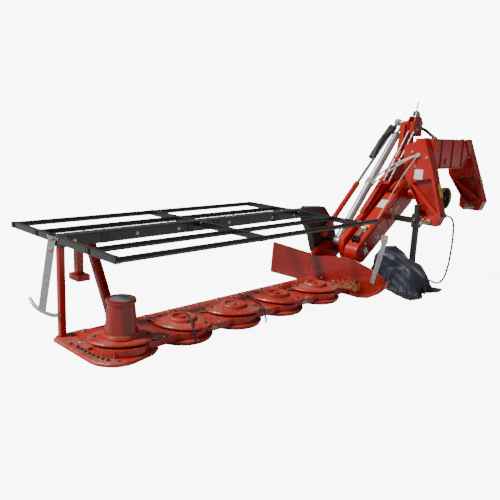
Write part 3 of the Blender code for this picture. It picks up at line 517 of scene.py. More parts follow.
def only(kind, made):
    """The points or the faces among what an operator made."""
    return [item for item in made["geom"] if isinstance(item, kind)]


def round_edges(shape, verts, rounding, segments=2):
    """Round the edges between these points."""
    if rounding <= 0:
        return
    chosen = set(verts)
    edges = [edge for edge in shape.edges if edge.verts[0] in chosen and edge.verts[1] in chosen]
    bevel(shape, edges, rounding, segments)


def add_rod(shape, start, end, radius, end_radius=None, sides=20, rounding=0.0):
    """A round bar between two points, given from the datum."""
    start, end = at(*start), at(*end)
    run = end - start
    where = Matrix.Translation((start + end) / 2) @ turn_to(run)
    made = bmesh.ops.create_cone(
        shape, cap_ends=True, segments=sides, radius1=radius,
        radius2=radius if end_radius is None else end_radius, depth=run.length, matrix=where,
    )
    if rounding:
        chosen = set(made["verts"])
        caps = [
            edge for edge in shape.edges
            if edge.verts[0] in chosen and edge.verts[1] in chosen
            and any(len(face.verts) > 4 for face in edge.link_faces)
        ]
        bevel(shape, caps, rounding)
    return made["verts"]


def add_bar(shape, start, end, width, depth, rounding=0.0, side=(1, 0, 0)):
    """A flat or square bar between two points: width along side, depth across it."""
    start, end = at(*start), at(*end)
    along = (end - start).normalized()
    across = Vector(side)
    across = (across - along * across.dot(along)).normalized()
    third = along.cross(across)
    turned = Matrix((across, third, along)).transposed().to_4x4()
    sized = Matrix.Diagonal((width, depth, (end - start).length, 1.0))
    made = bmesh.ops.create_cube(
        shape, size=1.0, matrix=Matrix.Translation((start + end) / 2) @ turned @ sized
    )
    round_edges(shape, made["verts"], rounding)
    return made["verts"]


def spun(shape, verts, edges, steps):
    """Turn points and their edges once round Z, close the seam and give all the points."""
    bmesh.ops.spin(
        shape, geom=verts + edges, cent=(0, 0, 0), axis=(0, 0, 1), angle=2 * math.pi, steps=steps,
        use_merge=True,
    )
    verts = connected(verts[0])
    bmesh.ops.remove_doubles(shape, verts=verts, dist=1e-6)
    return connected(next(vert for vert in verts if vert.is_valid))


def add_turned(shape, profile, base, axis=(0, 0, 1), steps=32, scale=(1, 1), turn=0.0, closed=False):
    """A turned shape: (radius, height) pairs from the axis out and back to it, or a closed ring of them."""
    points = [shape.verts.new((radius, 0, height)) for radius, height in profile]
    edges = [shape.edges.new(pair) for pair in zip(points, points[1:])]
    if closed:
        edges.append(shape.edges.new((points[-1], points[0])))
    verts = spun(shape, points, edges, steps)
    placed = Matrix.Translation(at(*base)) @ turn_to(axis) @ Matrix.Rotation(turn, 4, "Z")
    placed = placed @ Matrix.Diagonal((scale[0], scale[1], 1, 1))
    bmesh.ops.transform(shape, matrix=placed, verts=verts)
    face_outwards(shape, verts)
    return verts


def connected(vert):
    """All the points joined to one by edges."""
    found, waiting = {vert: True}, [vert]
    while waiting:
        for edge in waiting.pop().link_edges:
            for other in edge.verts:
                if other not in found:
                    found[other] = True
                    waiting.append(other)
    return list(found)


def add_bolt(shape, place, axis=(0, 0, 1), size=None, washer=True):
    """A hexagon head on its washer, standing out of a face along an axis."""
    size = size or sizes().bolt
    axis = Vector(axis).normalized()
    place = Vector(place)
    if washer:
        add_rod(shape, place - axis * 0.001, place + axis * size * 0.14, size * 0.78, None, 16)
    head = place + axis * size * 0.10
    add_rod(shape, head, head + axis * size * 0.55, size * 0.577, size * 0.52, 6)
    add_rod(shape, head + axis * size * 0.5, head + axis * size * 0.62, size * 0.36, size * 0.30, 12)


PLANES = {
    "XY": Matrix(((1, 0, 0), (0, 1, 0), (0, 0, 1))),
    "XZ": Matrix(((1, 0, 0), (0, 0, -1), (0, 1, 0))),
    "YZ": Matrix(((0, 0, 1), (1, 0, 0), (0, 1, 0))),
}


def in_plane(plane, across, along, depth):
    """A point given across and along a plane, and so deep behind it."""
    sign = -1 if plane == "XZ" else 1
    return at(*(PLANES[plane] @ Vector((across, along, sign * depth))))


def add_plate(shape, outline, plane, low, high, rounding=0.0, segments=2):
    """A flat outline in a plane, as thick as from low to high across it."""
    points = [shape.verts.new(in_plane(plane, *spot, low)) for spot in outline]
    face = shape.faces.new(points)
    made = bmesh.ops.extrude_face_region(shape, geom=[face])
    top = only(bmesh.types.BMVert, made)
    bmesh.ops.translate(shape, vec=in_plane(plane, 0, 0, high) - in_plane(plane, 0, 0, low), verts=top)
    verts = points + top
    face_outwards(shape, verts)
    round_edges(shape, verts, rounding, segments)
    return verts


def add_ribbon(shape, line, plane, low, high, thickness):
    """A bent strip of sheet: a line in a plane, as wide as from low to high across it."""
    starts = [shape.verts.new(in_plane(plane, *spot, low)) for spot in line]
    edges = [shape.edges.new(pair) for pair in zip(starts, starts[1:])]
    made = bmesh.ops.extrude_edge_only(shape, edges=edges)
    ends = only(bmesh.types.BMVert, made)
    bmesh.ops.translate(shape, vec=in_plane(plane, 0, 0, high) - in_plane(plane, 0, 0, low), verts=ends)
    faces = only(bmesh.types.BMFace, made)
    bmesh.ops.recalc_face_normals(shape, faces=faces)
    bmesh.ops.solidify(shape, geom=faces, thickness=thickness)


def add_ring(shape, centre, axis, radius, thickness, steps=24, sides=10):
    """A round ring, such as a weld bead or a pull ring."""
    made = bmesh.ops.create_circle(shape, segments=sides, radius=thickness)
    verts = made["verts"]
    bmesh.ops.rotate(shape, verts=verts, matrix=Matrix.Rotation(math.pi / 2, 3, "X"))
    bmesh.ops.translate(shape, vec=(radius, 0, 0), verts=verts)
    edges = list(dict.fromkeys(edge for vert in verts for edge in vert.link_edges))
    verts = spun(shape, verts, edges, steps)
    bmesh.ops.transform(shape, matrix=Matrix.Translation(at(*centre)) @ turn_to(axis), verts=verts)
    face_outwards(shape, verts)


def curve_points(points, steps=6):
    """Points along a smooth curve through the given ones."""
    points = [Vector(point) for point in points]
    ends = [2 * points[0] - points[1], *points, 2 * points[-1] - points[-2]]
    found = []
    for before, start, end, after in zip(ends, ends[1:], ends[2:], ends[3:]):
        for step in range(steps):
            t = step / steps
            found.append(
                0.5 * (2 * start + (end - before) * t + (2 * before - 5 * start + 4 * end - after) * t**2
                       + (3 * start - before - 3 * end + after) * t**3)
            )
    return [*found, points[-1]]


def add_wire(shape, points, radius, sides=10, steps=6):
    """A round wire, hose or rope along a smooth line through the given points."""
    line = [at(*point) for point in (curve_points(points, steps) if steps else points)]
    made = bmesh.ops.create_circle(shape, segments=sides, radius=radius, cap_ends=True)
    ring = made["verts"]
    heading = (line[1] - line[0]).normalized()
    turned = heading.to_track_quat("Z", "Y")
    bmesh.ops.transform(shape, matrix=Matrix.Translation(line[0]) @ turned.to_matrix().to_4x4(), verts=ring)
    cap = ring[0].link_faces[0]
    for number in range(1, len(line)):
        made = bmesh.ops.extrude_face_region(shape, geom=[cap])
        cap = only(bmesh.types.BMFace, made)[0]
        verts = only(bmesh.types.BMVert, made)
        last = number == len(line) - 1
        ahead = (line[number] - line[number - 1]) if last else (line[number + 1] - line[number - 1])
        ahead.normalize()
        bend = heading.rotation_difference(ahead)
        place = Matrix.Translation(line[number]) @ bend.to_matrix().to_4x4() @ Matrix.Translation(
            -line[number - 1]
        )
        bmesh.ops.transform(shape, matrix=place, verts=verts)
        heading = ahead
    verts = connected(cap.verts[0])
    face_outwards(shape, verts)
    return verts


def new_object(name, data):
    obj = bpy.data.objects.new(name, data)
    bpy.context.scene.collection.objects.link(obj)
    return obj


def piece(name, shape, look, body, replaced=(), angle=32):
    """Finish a shape as a piece that rides on a body; a body given as (first, second, start, end) is not
    used, and the piece only has its transform baked in.
    """
    mesh = bpy.data.meshes.new(name)
    for face in shape.faces:
        face.smooth = True
    shape.to_mesh(mesh)
    shape.free()
    obj = new_object(name, mesh)
    mesh.materials.append(finish(look))
    sharpen(obj, angle)
    even = obj.modifiers.new("Even normals", "WEIGHTED_NORMAL")
    even.keep_sharp = True
    if isinstance(body, str):
        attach(obj, body)
    else:
        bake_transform(obj)
    if replaced:
        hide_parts(*replaced)
    return obj


def sharpen(obj, angle):
    """Smooth shading with sharp edges where faces meet at more than an angle."""
    mesh = obj.data
    shape = bmesh.new()
    shape.from_mesh(mesh)
    for edge in shape.edges:
        if len(edge.link_faces) == 2:
            edge.smooth = edge.calc_face_angle(0) < math.radians(angle)
    shape.to_mesh(mesh)
    shape.free()


# ---- stage --------------------
BACKDROP_STRENGTH = 9.0
FLOOR_GLOW = 8.0
FLOOR_SHADE = 0.46
FLOOR_GAP = 0.0005
FLOOR_REACH = 40.0
SUN_HEADING = (0.62, -0.30, -0.75)
SUN_SPREAD = 9
FRONT_LIGHT_PLACE, FRONT_LIGHT_TARGET = (0.0, -6.0, 3.0), (1.8, 0, 0.5)
FRONT_LIGHT_SIZE = 5.0
CAMERA_PLACE = (-1.7321, -2.6796, 1.3124)
CAMERA_HEADING, CAMERA_PITCH, CAMERA_ROLL = 0.798, -0.2145, 0.0477


class MOWER_OT_stage(bpy.types.Operator):
    """Floor, soft light and camera."""

    bl_idname = "mower.stage"
    bl_label = "Stage"

    def execute(self, context):
        settings = context.scene.mower_stage
        self.floor()
        self.world(settings.sky)
        self.sun(settings.key)
        place, target = at(*FRONT_LIGHT_PLACE), at(*FRONT_LIGHT_TARGET)
        self.light("Front", place, target, settings.fill, FRONT_LIGHT_SIZE)
        self.camera(settings.lens)
        return {"FINISHED"}

    def floor(self):
        shape = begin()
        bmesh.ops.create_grid(shape, x_segments=1, y_segments=1, size=FLOOR_REACH)
        mesh = bpy.data.meshes.new("floor")
        shape.to_mesh(mesh)
        shape.free()
        obj = new_object("floor", mesh)
        obj.location.z = -FLOOR_GAP
        look = bpy.data.materials.new("Pale floor")
        look.use_nodes = True
        shader = look.node_tree.nodes["Principled BSDF"]
        shader.inputs["Base Color"].default_value = (FLOOR_SHADE, FLOOR_SHADE, FLOOR_SHADE, 1)
        shader.inputs["Roughness"].default_value = 0.9
        shader.inputs["Emission Color"].default_value = (1, 1, 1, 1)
        seen = add_node(look.node_tree, "ShaderNodeLightPath").outputs["Is Camera Ray"]
        glow = times(look.node_tree, seen, FLOOR_GLOW)
        look.node_tree.links.new(glow, shader.inputs["Emission Strength"])
        mesh.materials.append(look)

    def world(self, strength):
        world = bpy.data.worlds.new("Even light")
        world.use_nodes = True
        tree = world.node_tree
        seen = add_node(tree, "ShaderNodeLightPath").outputs["Is Camera Ray"]
        background = tree.nodes["Background"]
        background.inputs["Color"].default_value = (1, 1, 1, 1)
        level = add_node(
            tree, "ShaderNodeMapRange", {"Value": seen, "To Min": strength, "To Max": BACKDROP_STRENGTH}
        )
        tree.links.new(level.outputs["Result"], background.inputs["Strength"])
        bpy.context.scene.world = world

    def light(self, name, place, target, power, size):
        lamp = bpy.data.lights.new(name, "AREA")
        lamp.energy = power
        lamp.size = size
        obj = new_object(name, lamp)
        obj.location = place
        obj.rotation_mode = "QUATERNION"
        obj.rotation_quaternion = (target - place).to_track_quat("-Z", "Y")

    def sun(self, strength):
        """The key light, high over the outer end and a little behind."""
        lamp = bpy.data.lights.new("Key", "SUN")
        lamp.energy = strength
        lamp.angle = math.radians(SUN_SPREAD)
        obj = new_object("Key", lamp)
        obj.rotation_mode = "QUATERNION"
        obj.rotation_quaternion = Vector(SUN_HEADING).to_track_quat("-Z", "Y")

    def camera(self, lens):
        heading, pitch, roll = CAMERA_HEADING, CAMERA_PITCH, CAMERA_ROLL
        data = bpy.data.cameras.new("View")
        data.lens = lens
        data.sensor_width = 36.0
        obj = new_object("View", data)
        forward = Vector(
            (math.sin(heading) * math.cos(pitch), math.cos(heading) * math.cos(pitch), math.sin(pitch))
        )
        right = Vector((math.cos(heading), -math.sin(heading), 0))
        up = right.cross(forward)
        level_right = right * math.cos(roll) + up * math.sin(roll)
        level_up = up * math.cos(roll) - right * math.sin(roll)
        turned = Matrix((level_right, level_up, -forward)).transposed().to_4x4()
        obj.matrix_world = Matrix.Translation(at(*CAMERA_PLACE)) @ turned
        data.clip_end = 200
        bpy.context.scene.camera = obj


# ---- finishes on the frame's own pieces --------------------
NODES_OF_FINISH = {
    "red": (
        "crop_cone gearbox outer_leg outer_brace beam_bracket carrier_arm belt_guard belt_spacer mast_head "
        "lift_barrel hitch_leg_near hitch_leg_far hitch_beam shaft_housing"
    ),
    "scuffed red": "cutter_bar skid_2 skid_3 skid_4 skid_5 inner_shoe",
    "worn red": "outer_shoe disc_1 disc_2 disc_3 disc_4 disc_5",
    # The divider takes the darker red: painted shade over the whole sheet.
    "cone red": "divider",
    "worn steel": "knives_1 knives_2 knives_3 knives_4 knives_5",
    "rusty steel": "shaft_stub",
    "zinc": "shoe_bar hanger_bar latch_lever spring_tube hose_clip",
    "bright bolt": "mast_pin hitch_pin_near hitch_pin_far_inner hitch_pin_far_outer hose_coupling",
    "chrome": "spring_rod lift_rod",
    "black": "guard_beam front_guard rear_guard",
    "dusty black": "guard_arm stand_sleeve stand_post",
    "black rubber": "guard_cloth lift_hose",
    "yellow plastic": "shaft_cup",
    "grey cap": "cone_cap",
}
FRAME_FINISHES = {node: look for look, nodes in NODES_OF_FINISH.items() for node in nodes.split()}


class MOWER_OT_finish_frame(bpy.types.Operator):
    """Paint, wear and bare metal on the pieces of the frame itself."""

    bl_idname = "mower.finish_frame"
    bl_label = "Frame finishes"

    def execute(self, context):
        for node, obj in frame["nodes"].items():
            look = finish(FRAME_FINISHES[node])
            if not obj.material_slots:
                obj.data.materials.append(look)
            for slot in obj.material_slots:
                slot.material = look
        return {"FINISHED"}


SOFTENED = {
    "cutter_bar": 0.006, "skid_2": 0.007, "skid_3": 0.007, "skid_4": 0.007, "skid_5": 0.007,
    "outer_shoe": 0.006, "gearbox": 0.006, "guard_arm": 0.004, "outer_leg": 0.003,
    "beam_bracket": 0.003, "shoe_bar": 0.0015, "carrier_arm": 0.004, "hitch_beam": 0.006,
    "shaft_housing": 0.003, "stand_post": 0.0025, "inner_shoe": 0.002,
}


class MOWER_OT_soften_frame(bpy.types.Operator):
    """The frame's own shapes with their edges rounded as sawn, pressed and welded steel is."""

    bl_idname = "mower.soften_frame"
    bl_label = "Rounded edges"

    def execute(self, context):
        for node, width in SOFTENED.items():
            soften(node, width)
        return {"FINISHED"}


def soften(node, width, segments=2):
    """Stand a copy of a node with rounded edges in its place."""
    source = frame["nodes"][node]
    shape = begin()
    shape.from_mesh(source.data)
    bmesh.ops.remove_doubles(shape, verts=shape.verts, dist=1e-5)
    bmesh.ops.dissolve_limit(shape, angle_limit=math.radians(1.5), verts=shape.verts, edges=shape.edges)
    blunt = math.radians(35)
    corners = [
        edge for edge in shape.edges if len(edge.link_faces) == 2 and edge.calc_face_angle(0) > blunt
    ]
    bevel(shape, corners, width, segments)
    return piece(f"{node}_rounded", shape, FRAME_FINISHES[node], source["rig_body"], [node])


# ---- hose --------------------
HOSE_RADIUS = 0.008
HOSE_ROUTE = (
    (2.900, -0.460, 0.628),
    (2.900, -0.478, 0.628),
    (2.902, -0.512, 0.612),
    (2.905, -0.532, 0.560),
    (2.908, -0.538, 0.460),
    (2.912, -0.534, 0.330),
    (2.920, -0.520, 0.200),
    (2.935, -0.490, 0.090),
    (2.958, -0.440, 0.030),
    (2.985, -0.390, 0.0125),
    (3.030, -0.310, 0.0090),
    (3.065, -0.200, 0.0090),
    (3.055, -0.090, 0.0090),
    (3.010, 0.000, 0.0090),
    (2.985, 0.095, 0.0090),
    (2.990, 0.190, 0.0090),
)


class MOWER_OT_hose(bpy.types.Operator):
    """The lift hose from its clip on the near leg to its coupling on the ground."""

    bl_idname = "mower.hose"
    bl_label = "Lift hose"

    def execute(self, context):
        line = curve_points(HOSE_ROUTE, 5)
        shape = begin()
        add_wire(shape, line, HOSE_RADIUS, 16, 0)
        hose = piece("lift_hose_laid", shape, "braided hose", "headstock", ["lift_hose"], 60)
        coupling = self.coupling(line)
        shape = begin()
        clip_low, clip_high = low_of("hose_clip"), high_of("hose_clip")
        centre = (clip_low + clip_high) / 2
        add_box(shape, clip_low, clip_high, 0.004)
        add_bolt(shape, (centre.x, centre.y, clip_high.z - 0.001), (0, 0, 1), 0.008)
        piece("hose_clip_block", shape, "dark plastic", "headstock", ["hose_clip"])
        return {"FINISHED"}

    def coupling(self, line):
        start = line[-1]
        heading = (line[-1] - line[-2]).normalized()
        shape = begin()

        def reach(amount):
            return start + heading * amount

        add_rod(shape, reach(0.0004), reach(0.020), 0.0080, 0.0080, 20, 0.001)
        add_rod(shape, reach(0.0195), reach(0.032), 0.0086, 0.0086, 6, 0.0008)
        add_rod(shape, reach(0.0315), reach(0.052), 0.0070, 0.0066, 20, 0.001)
        return piece("hose_coupling_end", shape, "bright bolt", "headstock", ["hose_coupling"])


# ---- discs --------------------
def disc_centre(number):
    middle_of = middle(f"disc_{number}") - DATUM
    return Vector((middle_of.x, middle_of.y, 0))


class MOWER_OT_discs(bpy.types.Operator):
    """The oval discs with their hubs and bolts, and two knives on each."""

    bl_idname = "mower.discs"
    bl_label = "Discs and knives"

    long_radius = 0.190
    short_radius = 0.140
    knife_reach = 0.232
    odd_turn, even_turn = -30, 120

    def execute(self, context):
        for number in range(1, DISC_COUNT + 1):
            self.disc(number)
            self.knives(number)
        return {"FINISHED"}

    def turn(self, number):
        return math.radians(self.odd_turn if number % 2 else self.even_turn)

    def disc(self, number):
        centre = disc_centre(number)
        body = f"disc_{number}"
        base = Vector((centre.x, centre.y, low_of(body).z))
        turn = self.turn(number)
        shape = begin()
        dish = (
            (0, 0.003), (0.80, 0.003), (0.93, 0), (0.985, 0.0005), (1.0, 0.004), (0.998, 0.010), (
                0.975, 0.0145
            ),
            (0.90, 0.0175), (0.72, 0.0220), (0.60, 0.0258), (0, 0.0258),
        )
        profile = [(radius * self.long_radius, height) for radius, height in dish]
        add_turned(
            shape, profile, base, steps=64, scale=(1, self.short_radius / self.long_radius), turn=turn
        )
        inner = 0.058 if number > 1 else 0.100
        hub = (
            (0, 0.024), (0.0880, 0.024), (0.0885, 0.030), (0.0850, 0.0425), (0.0820, 0.0462), (
                0.0780, 0.0478
            ),
            (inner + 0.004, 0.0478), (inner, 0.0462), (inner - 0.003, 0.034), (0, 0.034),
        )
        if number > 1:
            add_turned(shape, hub, base, steps=48)
            for step in range(6):
                angle = turn + step * math.pi / 3
                spot = base + Vector((0.045 * math.cos(angle), 0.045 * math.sin(angle), 0.034))
                add_rod(shape, spot, spot + Vector((0, 0, 0.006)), 0.0075, 0.0068, 6)
            add_rod(
                shape, base + Vector((0, 0, 0.033)), base + Vector((0, 0, 0.0465)), 0.021, 0.019, 6, 0.002
            )
            for step in range(3):
                angle = turn + 0.5 + step * 2 * math.pi / 3
                spot = base + Vector((0.069 * math.cos(angle), 0.069 * math.sin(angle), 0.0475))
                add_rod(shape, spot, spot + Vector((0, 0, 0.0005)), 0.009, 0.008, 12)
        else:
            collar = (
                (0, 0.024), (0.106, 0.024), (0.108, 0.028), (0.104, 0.040), (0.100, 0.0475), (0, 0.0478)
            )
            add_turned(shape, collar, base, steps=48)
        piece(f"{body}_dish", shape, "worn red", body, [body], 28)
        shape = begin()
        for side in (1, -1):
            along = Vector((math.cos(turn), math.sin(turn), 0)) * side
            across = Vector((-along.y, along.x, 0))
            spot = base + along * 0.150 + Vector((0, 0, 0.0178))
            add_rod(shape, spot, spot + Vector((0, 0, 0.0035)), 0.0165, 0.0155, 20, 0.001)
            add_rod(
                shape, spot + Vector((0, 0, 0.003)), spot + Vector((0, 0, 0.0125)), 0.0115, 0.0105, 6, 0.001
            )
            guard = base + along * 0.168 + Vector((0, 0, 0.0150))
            add_bar(shape, guard - across * 0.034, guard + across * 0.034, 0.010, 0.004, 0.001, along)
        piece(f"{body}_knife_bolts", shape, "rusty steel", body)

    def knives(self, number):
        body = f"disc_{number}"
        centre = disc_centre(number)
        turn = self.turn(number)
        low, high = low_of(f"knives_{number}").z, high_of(f"knives_{number}").z
        shape = begin()
        for side in (1, -1):
            along = Vector((math.cos(turn), math.sin(turn))) * side
            across = Vector((-along.y, along.x))
            outline = (
                (0.128, -0.017), (0.214, -0.023), (0.226, -0.019), (self.knife_reach, -0.009),
                (self.knife_reach, 0.014), (0.224, 0.023), (0.128, 0.021), (0.120, 0.010), (0.120, -0.008),
            )
            flat = [centre.xy + along * out + across * sideways for out, sideways in outline]
            add_plate(shape, flat, "XY", low, high, 0.0014, 1)
        piece(f"{body}_blades", shape, "worn steel", body, [f"knives_{number}"])


class MOWER_OT_cone(bpy.types.Operator):
    """The eight-sided crop cone on the outer disc, with its rolled rim and sunk cap."""

    bl_idname = "mower.cone"
    bl_label = "Crop cone"

    def execute(self, context):
        low, high = low_of("crop_cone"), high_of("crop_cone")
        cap_high = high_of("cone_cap").z
        centre = disc_centre(1)
        shape = begin()
        made = bmesh.ops.create_cone(
            shape, cap_ends=True, segments=8, radius1=0.0995, radius2=0.0790, depth=high.z - low.z - 0.001,
            matrix=Matrix.Translation(at(centre.x, centre.y, (low.z + high.z) / 2)) @ Matrix.Rotation(
                0.30, 4, "Z"
            ),
        )
        sides = [
            edge for vert in made["verts"] for edge in vert.link_edges
            if abs(edge.verts[0].co.z - edge.verts[1].co.z) > 0.1
        ]
        bevel(shape, list(dict.fromkeys(sides)), 0.020, 5)
        top = high.z
        rim = (
            (0.0745, top - 0.004), (0.0745, cap_high + 0.0006), (0.0775, cap_high + 0.0024),
            (0.0830, cap_high + 0.0010), (0.0862, top + 0.001), (0.0860, top - 0.008), (
                0.0835, top - 0.0125
            ),
            (0.0775, top - 0.0135),
        )
        add_turned(shape, rim, (centre.x, centre.y, 0), steps=48, closed=True)
        # The shell is painted in the darker red: painted shade over the cone.
        piece("crop_cone_shell", shape, "cone red", "disc_1", ["crop_cone"], 24)
        shape = begin()
        cap = (
            (0, top + 0.0005), (0.0742, top + 0.0005), (0.0742, top + 0.0060), (0.0700, top + 0.0075),
            (0.0660, top + 0.0045), (0.030, top + 0.0040), (0.026, top + 0.0060), (0.010, top + 0.0064),
            (0, top + 0.0058),
        )
        add_turned(shape, cap, (centre.x, centre.y, 0), steps=48)
        piece("cone_cap_disc", shape, "grey cap", "disc_1", ["cone_cap"], 30)
        return {"FINISHED"}


# ---- cutter bar --------------------
STRAP_LEAN = 0.42


class MOWER_OT_bar_details(bpy.types.Operator):
    """Bolts, straps, worn skid lips and the bolted wear strip on the outer shoe."""

    bl_idname = "mower.bar_details"
    bl_label = "Bar fittings"

    def execute(self, context):
        top = high_of("cutter_bar").z - 0.006
        self.bolts(top)
        self.straps()
        self.skid_lips()
        self.outer_strip()
        return {"FINISHED"}

    def bolts(self, top):
        shape = begin()
        for number in range(1, DISC_COUNT):
            between = disc_centre(number).x + DISC_PITCH / 2
            for x, y in ((0, -0.104), (-0.020, 0.212), (0.020, 0.212), (0, 0.250)):
                add_bolt(shape, (between + x, y, top), (0, 0, 1), sizes().small_bolt)
        for number in range(1, DISC_COUNT + 1):
            x = disc_centre(number).x
            for offset in (-0.095, 0.095):
                add_bolt(shape, (x + offset, 0.256, top), (0, 0, 1))
        piece("bar_bolts", shape, "bright bolt", "fold")

    def straps(self):
        shape = begin()
        top = high_of("disc_2").z
        for x, peak in (
            (disc_centre(2).x + 0.030, top + 0.001), (disc_centre(3).x + DISC_PITCH * 0.46, 0.1120)
        ):
            line = (
                (-0.196, 0.012), (-0.202, 0.034), (-0.178, 0.070), (-0.146, 0.104), (-0.086, peak + 0.0035),
                (0.0, peak + 0.0045), (0.086, peak + 0.0035), (0.150, 0.104), (0.215, 0.0790), (
                    0.270, 0.0755
                ),
            )
            line = [(x + STRAP_LEAN * y, y, z) for y, z in line]
            add_strap(shape, line, 0.0150, 0.0022)
        piece("tie_straps", shape, "black rubber", "fold")

    def skid_lips(self):
        shape = begin()
        for number in range(2, DISC_COUNT + 1):
            x = disc_centre(number).x
            line = []
            for step in range(15):
                angle = math.radians(204 + step * 132 / 14)
                line.append((x + 0.1905 * math.cos(angle), 0.1905 * math.sin(angle), 0.0245))
            add_wire(shape, line, 0.0050, 8, 0)
        piece("skid_lips", shape, "worn red", "fold", angle=60)

    def outer_strip(self):
        top = high_of("outer_shoe").z
        shape = begin()
        line = [
            (-0.190, 0.150), (-0.191, 0.110), (-0.191, 0.070), (-0.190, 0.030), (-0.187, -0.010), (
                -0.181, -0.046
            ),
            (-0.170, -0.080), (-0.156, -0.110),
        ]
        line = [(x, y, top + 0.0025) for x, y in line]
        add_strap(shape, line, 0.026, 0.005, (0, 0, 1))
        piece("outer_wear_strip", shape, "worn steel", "fold", angle=40)
        shape = begin()
        for spot in line:
            add_bolt(shape, Vector(spot) + Vector((0, 0, 0.002)), (0, 0, 1), 0.014)
        for x, y in ((-0.130, 0.330), (-0.080, 0.330), (-0.195, 0.220), (-0.120, -0.155), (0.020, 0.330)):
            add_bolt(shape, (x, y, top), (0, 0, 1), 0.015)
        piece("outer_shoe_bolts", shape, "rusty steel", "fold")


def add_strap(shape, points, width, thickness, facing=None):
    """A flat strap along a line of points, from the datum: width across it, lying on its facing side."""
    line = [at(*point) for point in points]
    rows = []
    for number, place in enumerate(line):
        ahead = (line[min(number + 1, len(line) - 1)] - line[max(number - 1, 0)]).normalized()
        side = ahead.cross(Vector(facing)).normalized() if facing else Vector((1, 0, 0))
        rows.append((shape.verts.new(place - side * width / 2), shape.verts.new(place + side * width / 2)))
    edges = [shape.edges.new(pair) for pair in rows]
    faces = []
    for first, second in zip(edges, edges[1:]):
        faces += bmesh.ops.bridge_loops(shape, edges=[first, second])["faces"]
    bmesh.ops.recalc_face_normals(shape, faces=faces)
    bmesh.ops.solidify(shape, geom=faces, thickness=thickness)


# ---- guard frame --------------------
class MOWER_OT_guard(bpy.types.Operator):
    """The beam and the two hinged flaps: tubes with capped ends, channel cross bars, welds and hinges."""

    bl_idname = "mower.guard"
    bl_label = "Guard frame"

    stations = (-0.200, 0.850, 1.890)
    beam_front, beam_rear, beam_top = 0.330, 0.410, 0.642
    rail = 0.017

    def execute(self, context):
        low, high = low_of("front_guard"), high_of("front_guard")
        self.middle_z = (low.z + high.z) / 2
        self.bottom, self.top = low.z, high.z
        front = ((low.y + self.rail, 2.130), (-0.011, 1.908))
        self.flap("front_guard", front, (low.y + self.rail, high.y))
        low, high = low_of("rear_guard"), high_of("rear_guard")
        rear = ((high.y - self.rail, 1.908), (0.583, 1.908))
        self.flap("rear_guard", rear, (low.y, high.y - self.rail))
        self.beam()
        return {"FINISHED"}

    def flap(self, node, rails, reach):
        shape = begin()
        ends = begin()
        start = self.stations[0] - 0.018
        for y, end in rails:
            add_rod(shape, (start, y, self.middle_z), (end, y, self.middle_z), self.rail, None, 28, 0.0015)
            block = self.rail * 0.98
            low_z, high_z = self.middle_z - block, self.middle_z + block
            add_box(ends, (start - 0.0005, y - block, low_z), (start + 0.004, y + block, high_z), 0.002)
            mouth, lip = (end - 0.006, y, self.middle_z), (end + 0.0005, y, self.middle_z)
            add_rod(ends, mouth, lip, self.rail + 0.0007, None, 28, 0.001)
            for x in self.stations:
                if x + 0.02 < end:
                    for edge in (-0.0125, 0.0125):
                        add_ring(
                            shape, (x + edge, y, self.middle_z), (1, 0, 0), self.rail + 0.0005, 0.0028, 24,
                            6,
                        )
        low_y, high_y = min(reach), max(reach)
        for x in self.stations:
            self.channel(shape, x, low_y, high_y)
        piece(f"{node}_frame", shape, "black", node, [node], 40)
        piece(f"{node}_caps", ends, "dark plastic", node)

    def channel(self, shape, x, low_y, high_y):
        """A cross bar: a rectangular bar with rounded edges."""
        half = 0.012
        add_box(shape, (x - half, low_y, self.bottom), (x + half, high_y, self.top), 0.0025)

    def beam(self):
        low, high = low_of("guard_beam"), high_of("guard_beam")
        shape = begin()
        add_box(shape, (low.x, self.beam_front, low.z), (high.x, self.beam_rear, self.beam_top), 0.004)
        for x in self.stations:
            for y0, y1 in ((0.297, 0.331), (0.409, 0.443)):
                add_box(shape, (x + 0.0123, y0, 0.605), (x + 0.0243, y1, 0.641), 0.002)
        piece("guard_beam_tube", shape, "black", "fold", ["guard_beam"])
        shape = begin()
        for x in self.stations:
            for y in (0.311, 0.429):
                add_bolt(shape, (x + 0.0243, y, 0.630), (1, 0, 0), 0.017)
                add_rod(shape, (x - 0.0125, y, 0.630), (x + 0.0243, y, 0.630), 0.0065, None, 14)
                add_rod(shape, (x - 0.0165, y, 0.630), (x - 0.0121, y, 0.630), 0.0095, 0.0085, 6)
        piece("guard_hinge_bolts", shape, "bright bolt", "fold")
        shape = begin()
        for x in (-0.10, 0.33, 0.66, 1.12, 1.58, 1.84):
            add_bolt(shape, (x, 0.3302, 0.607), (0, -1, 0), 0.015)
        for x in (-0.02, 0.60, 1.20, 1.74):
            add_bolt(shape, (x, 0.370, 0.6418), (0, 0, 1), 0.015)
        piece("guard_beam_bolts", shape, "bright bolt", "fold")
        shape = begin()
        for x in (0.10, 0.76, 1.00, 1.62):
            add_box(shape, (x - 0.026, 0.3262, 0.5722), (x + 0.026, 0.3302, 0.6416), 0.001)
        add_box(shape, (low.x - 0.0004, 0.334, 0.576), (low.x + 0.003, 0.406, 0.638), 0.001)
        piece("guard_beam_plates", shape, "dusty black", "fold")


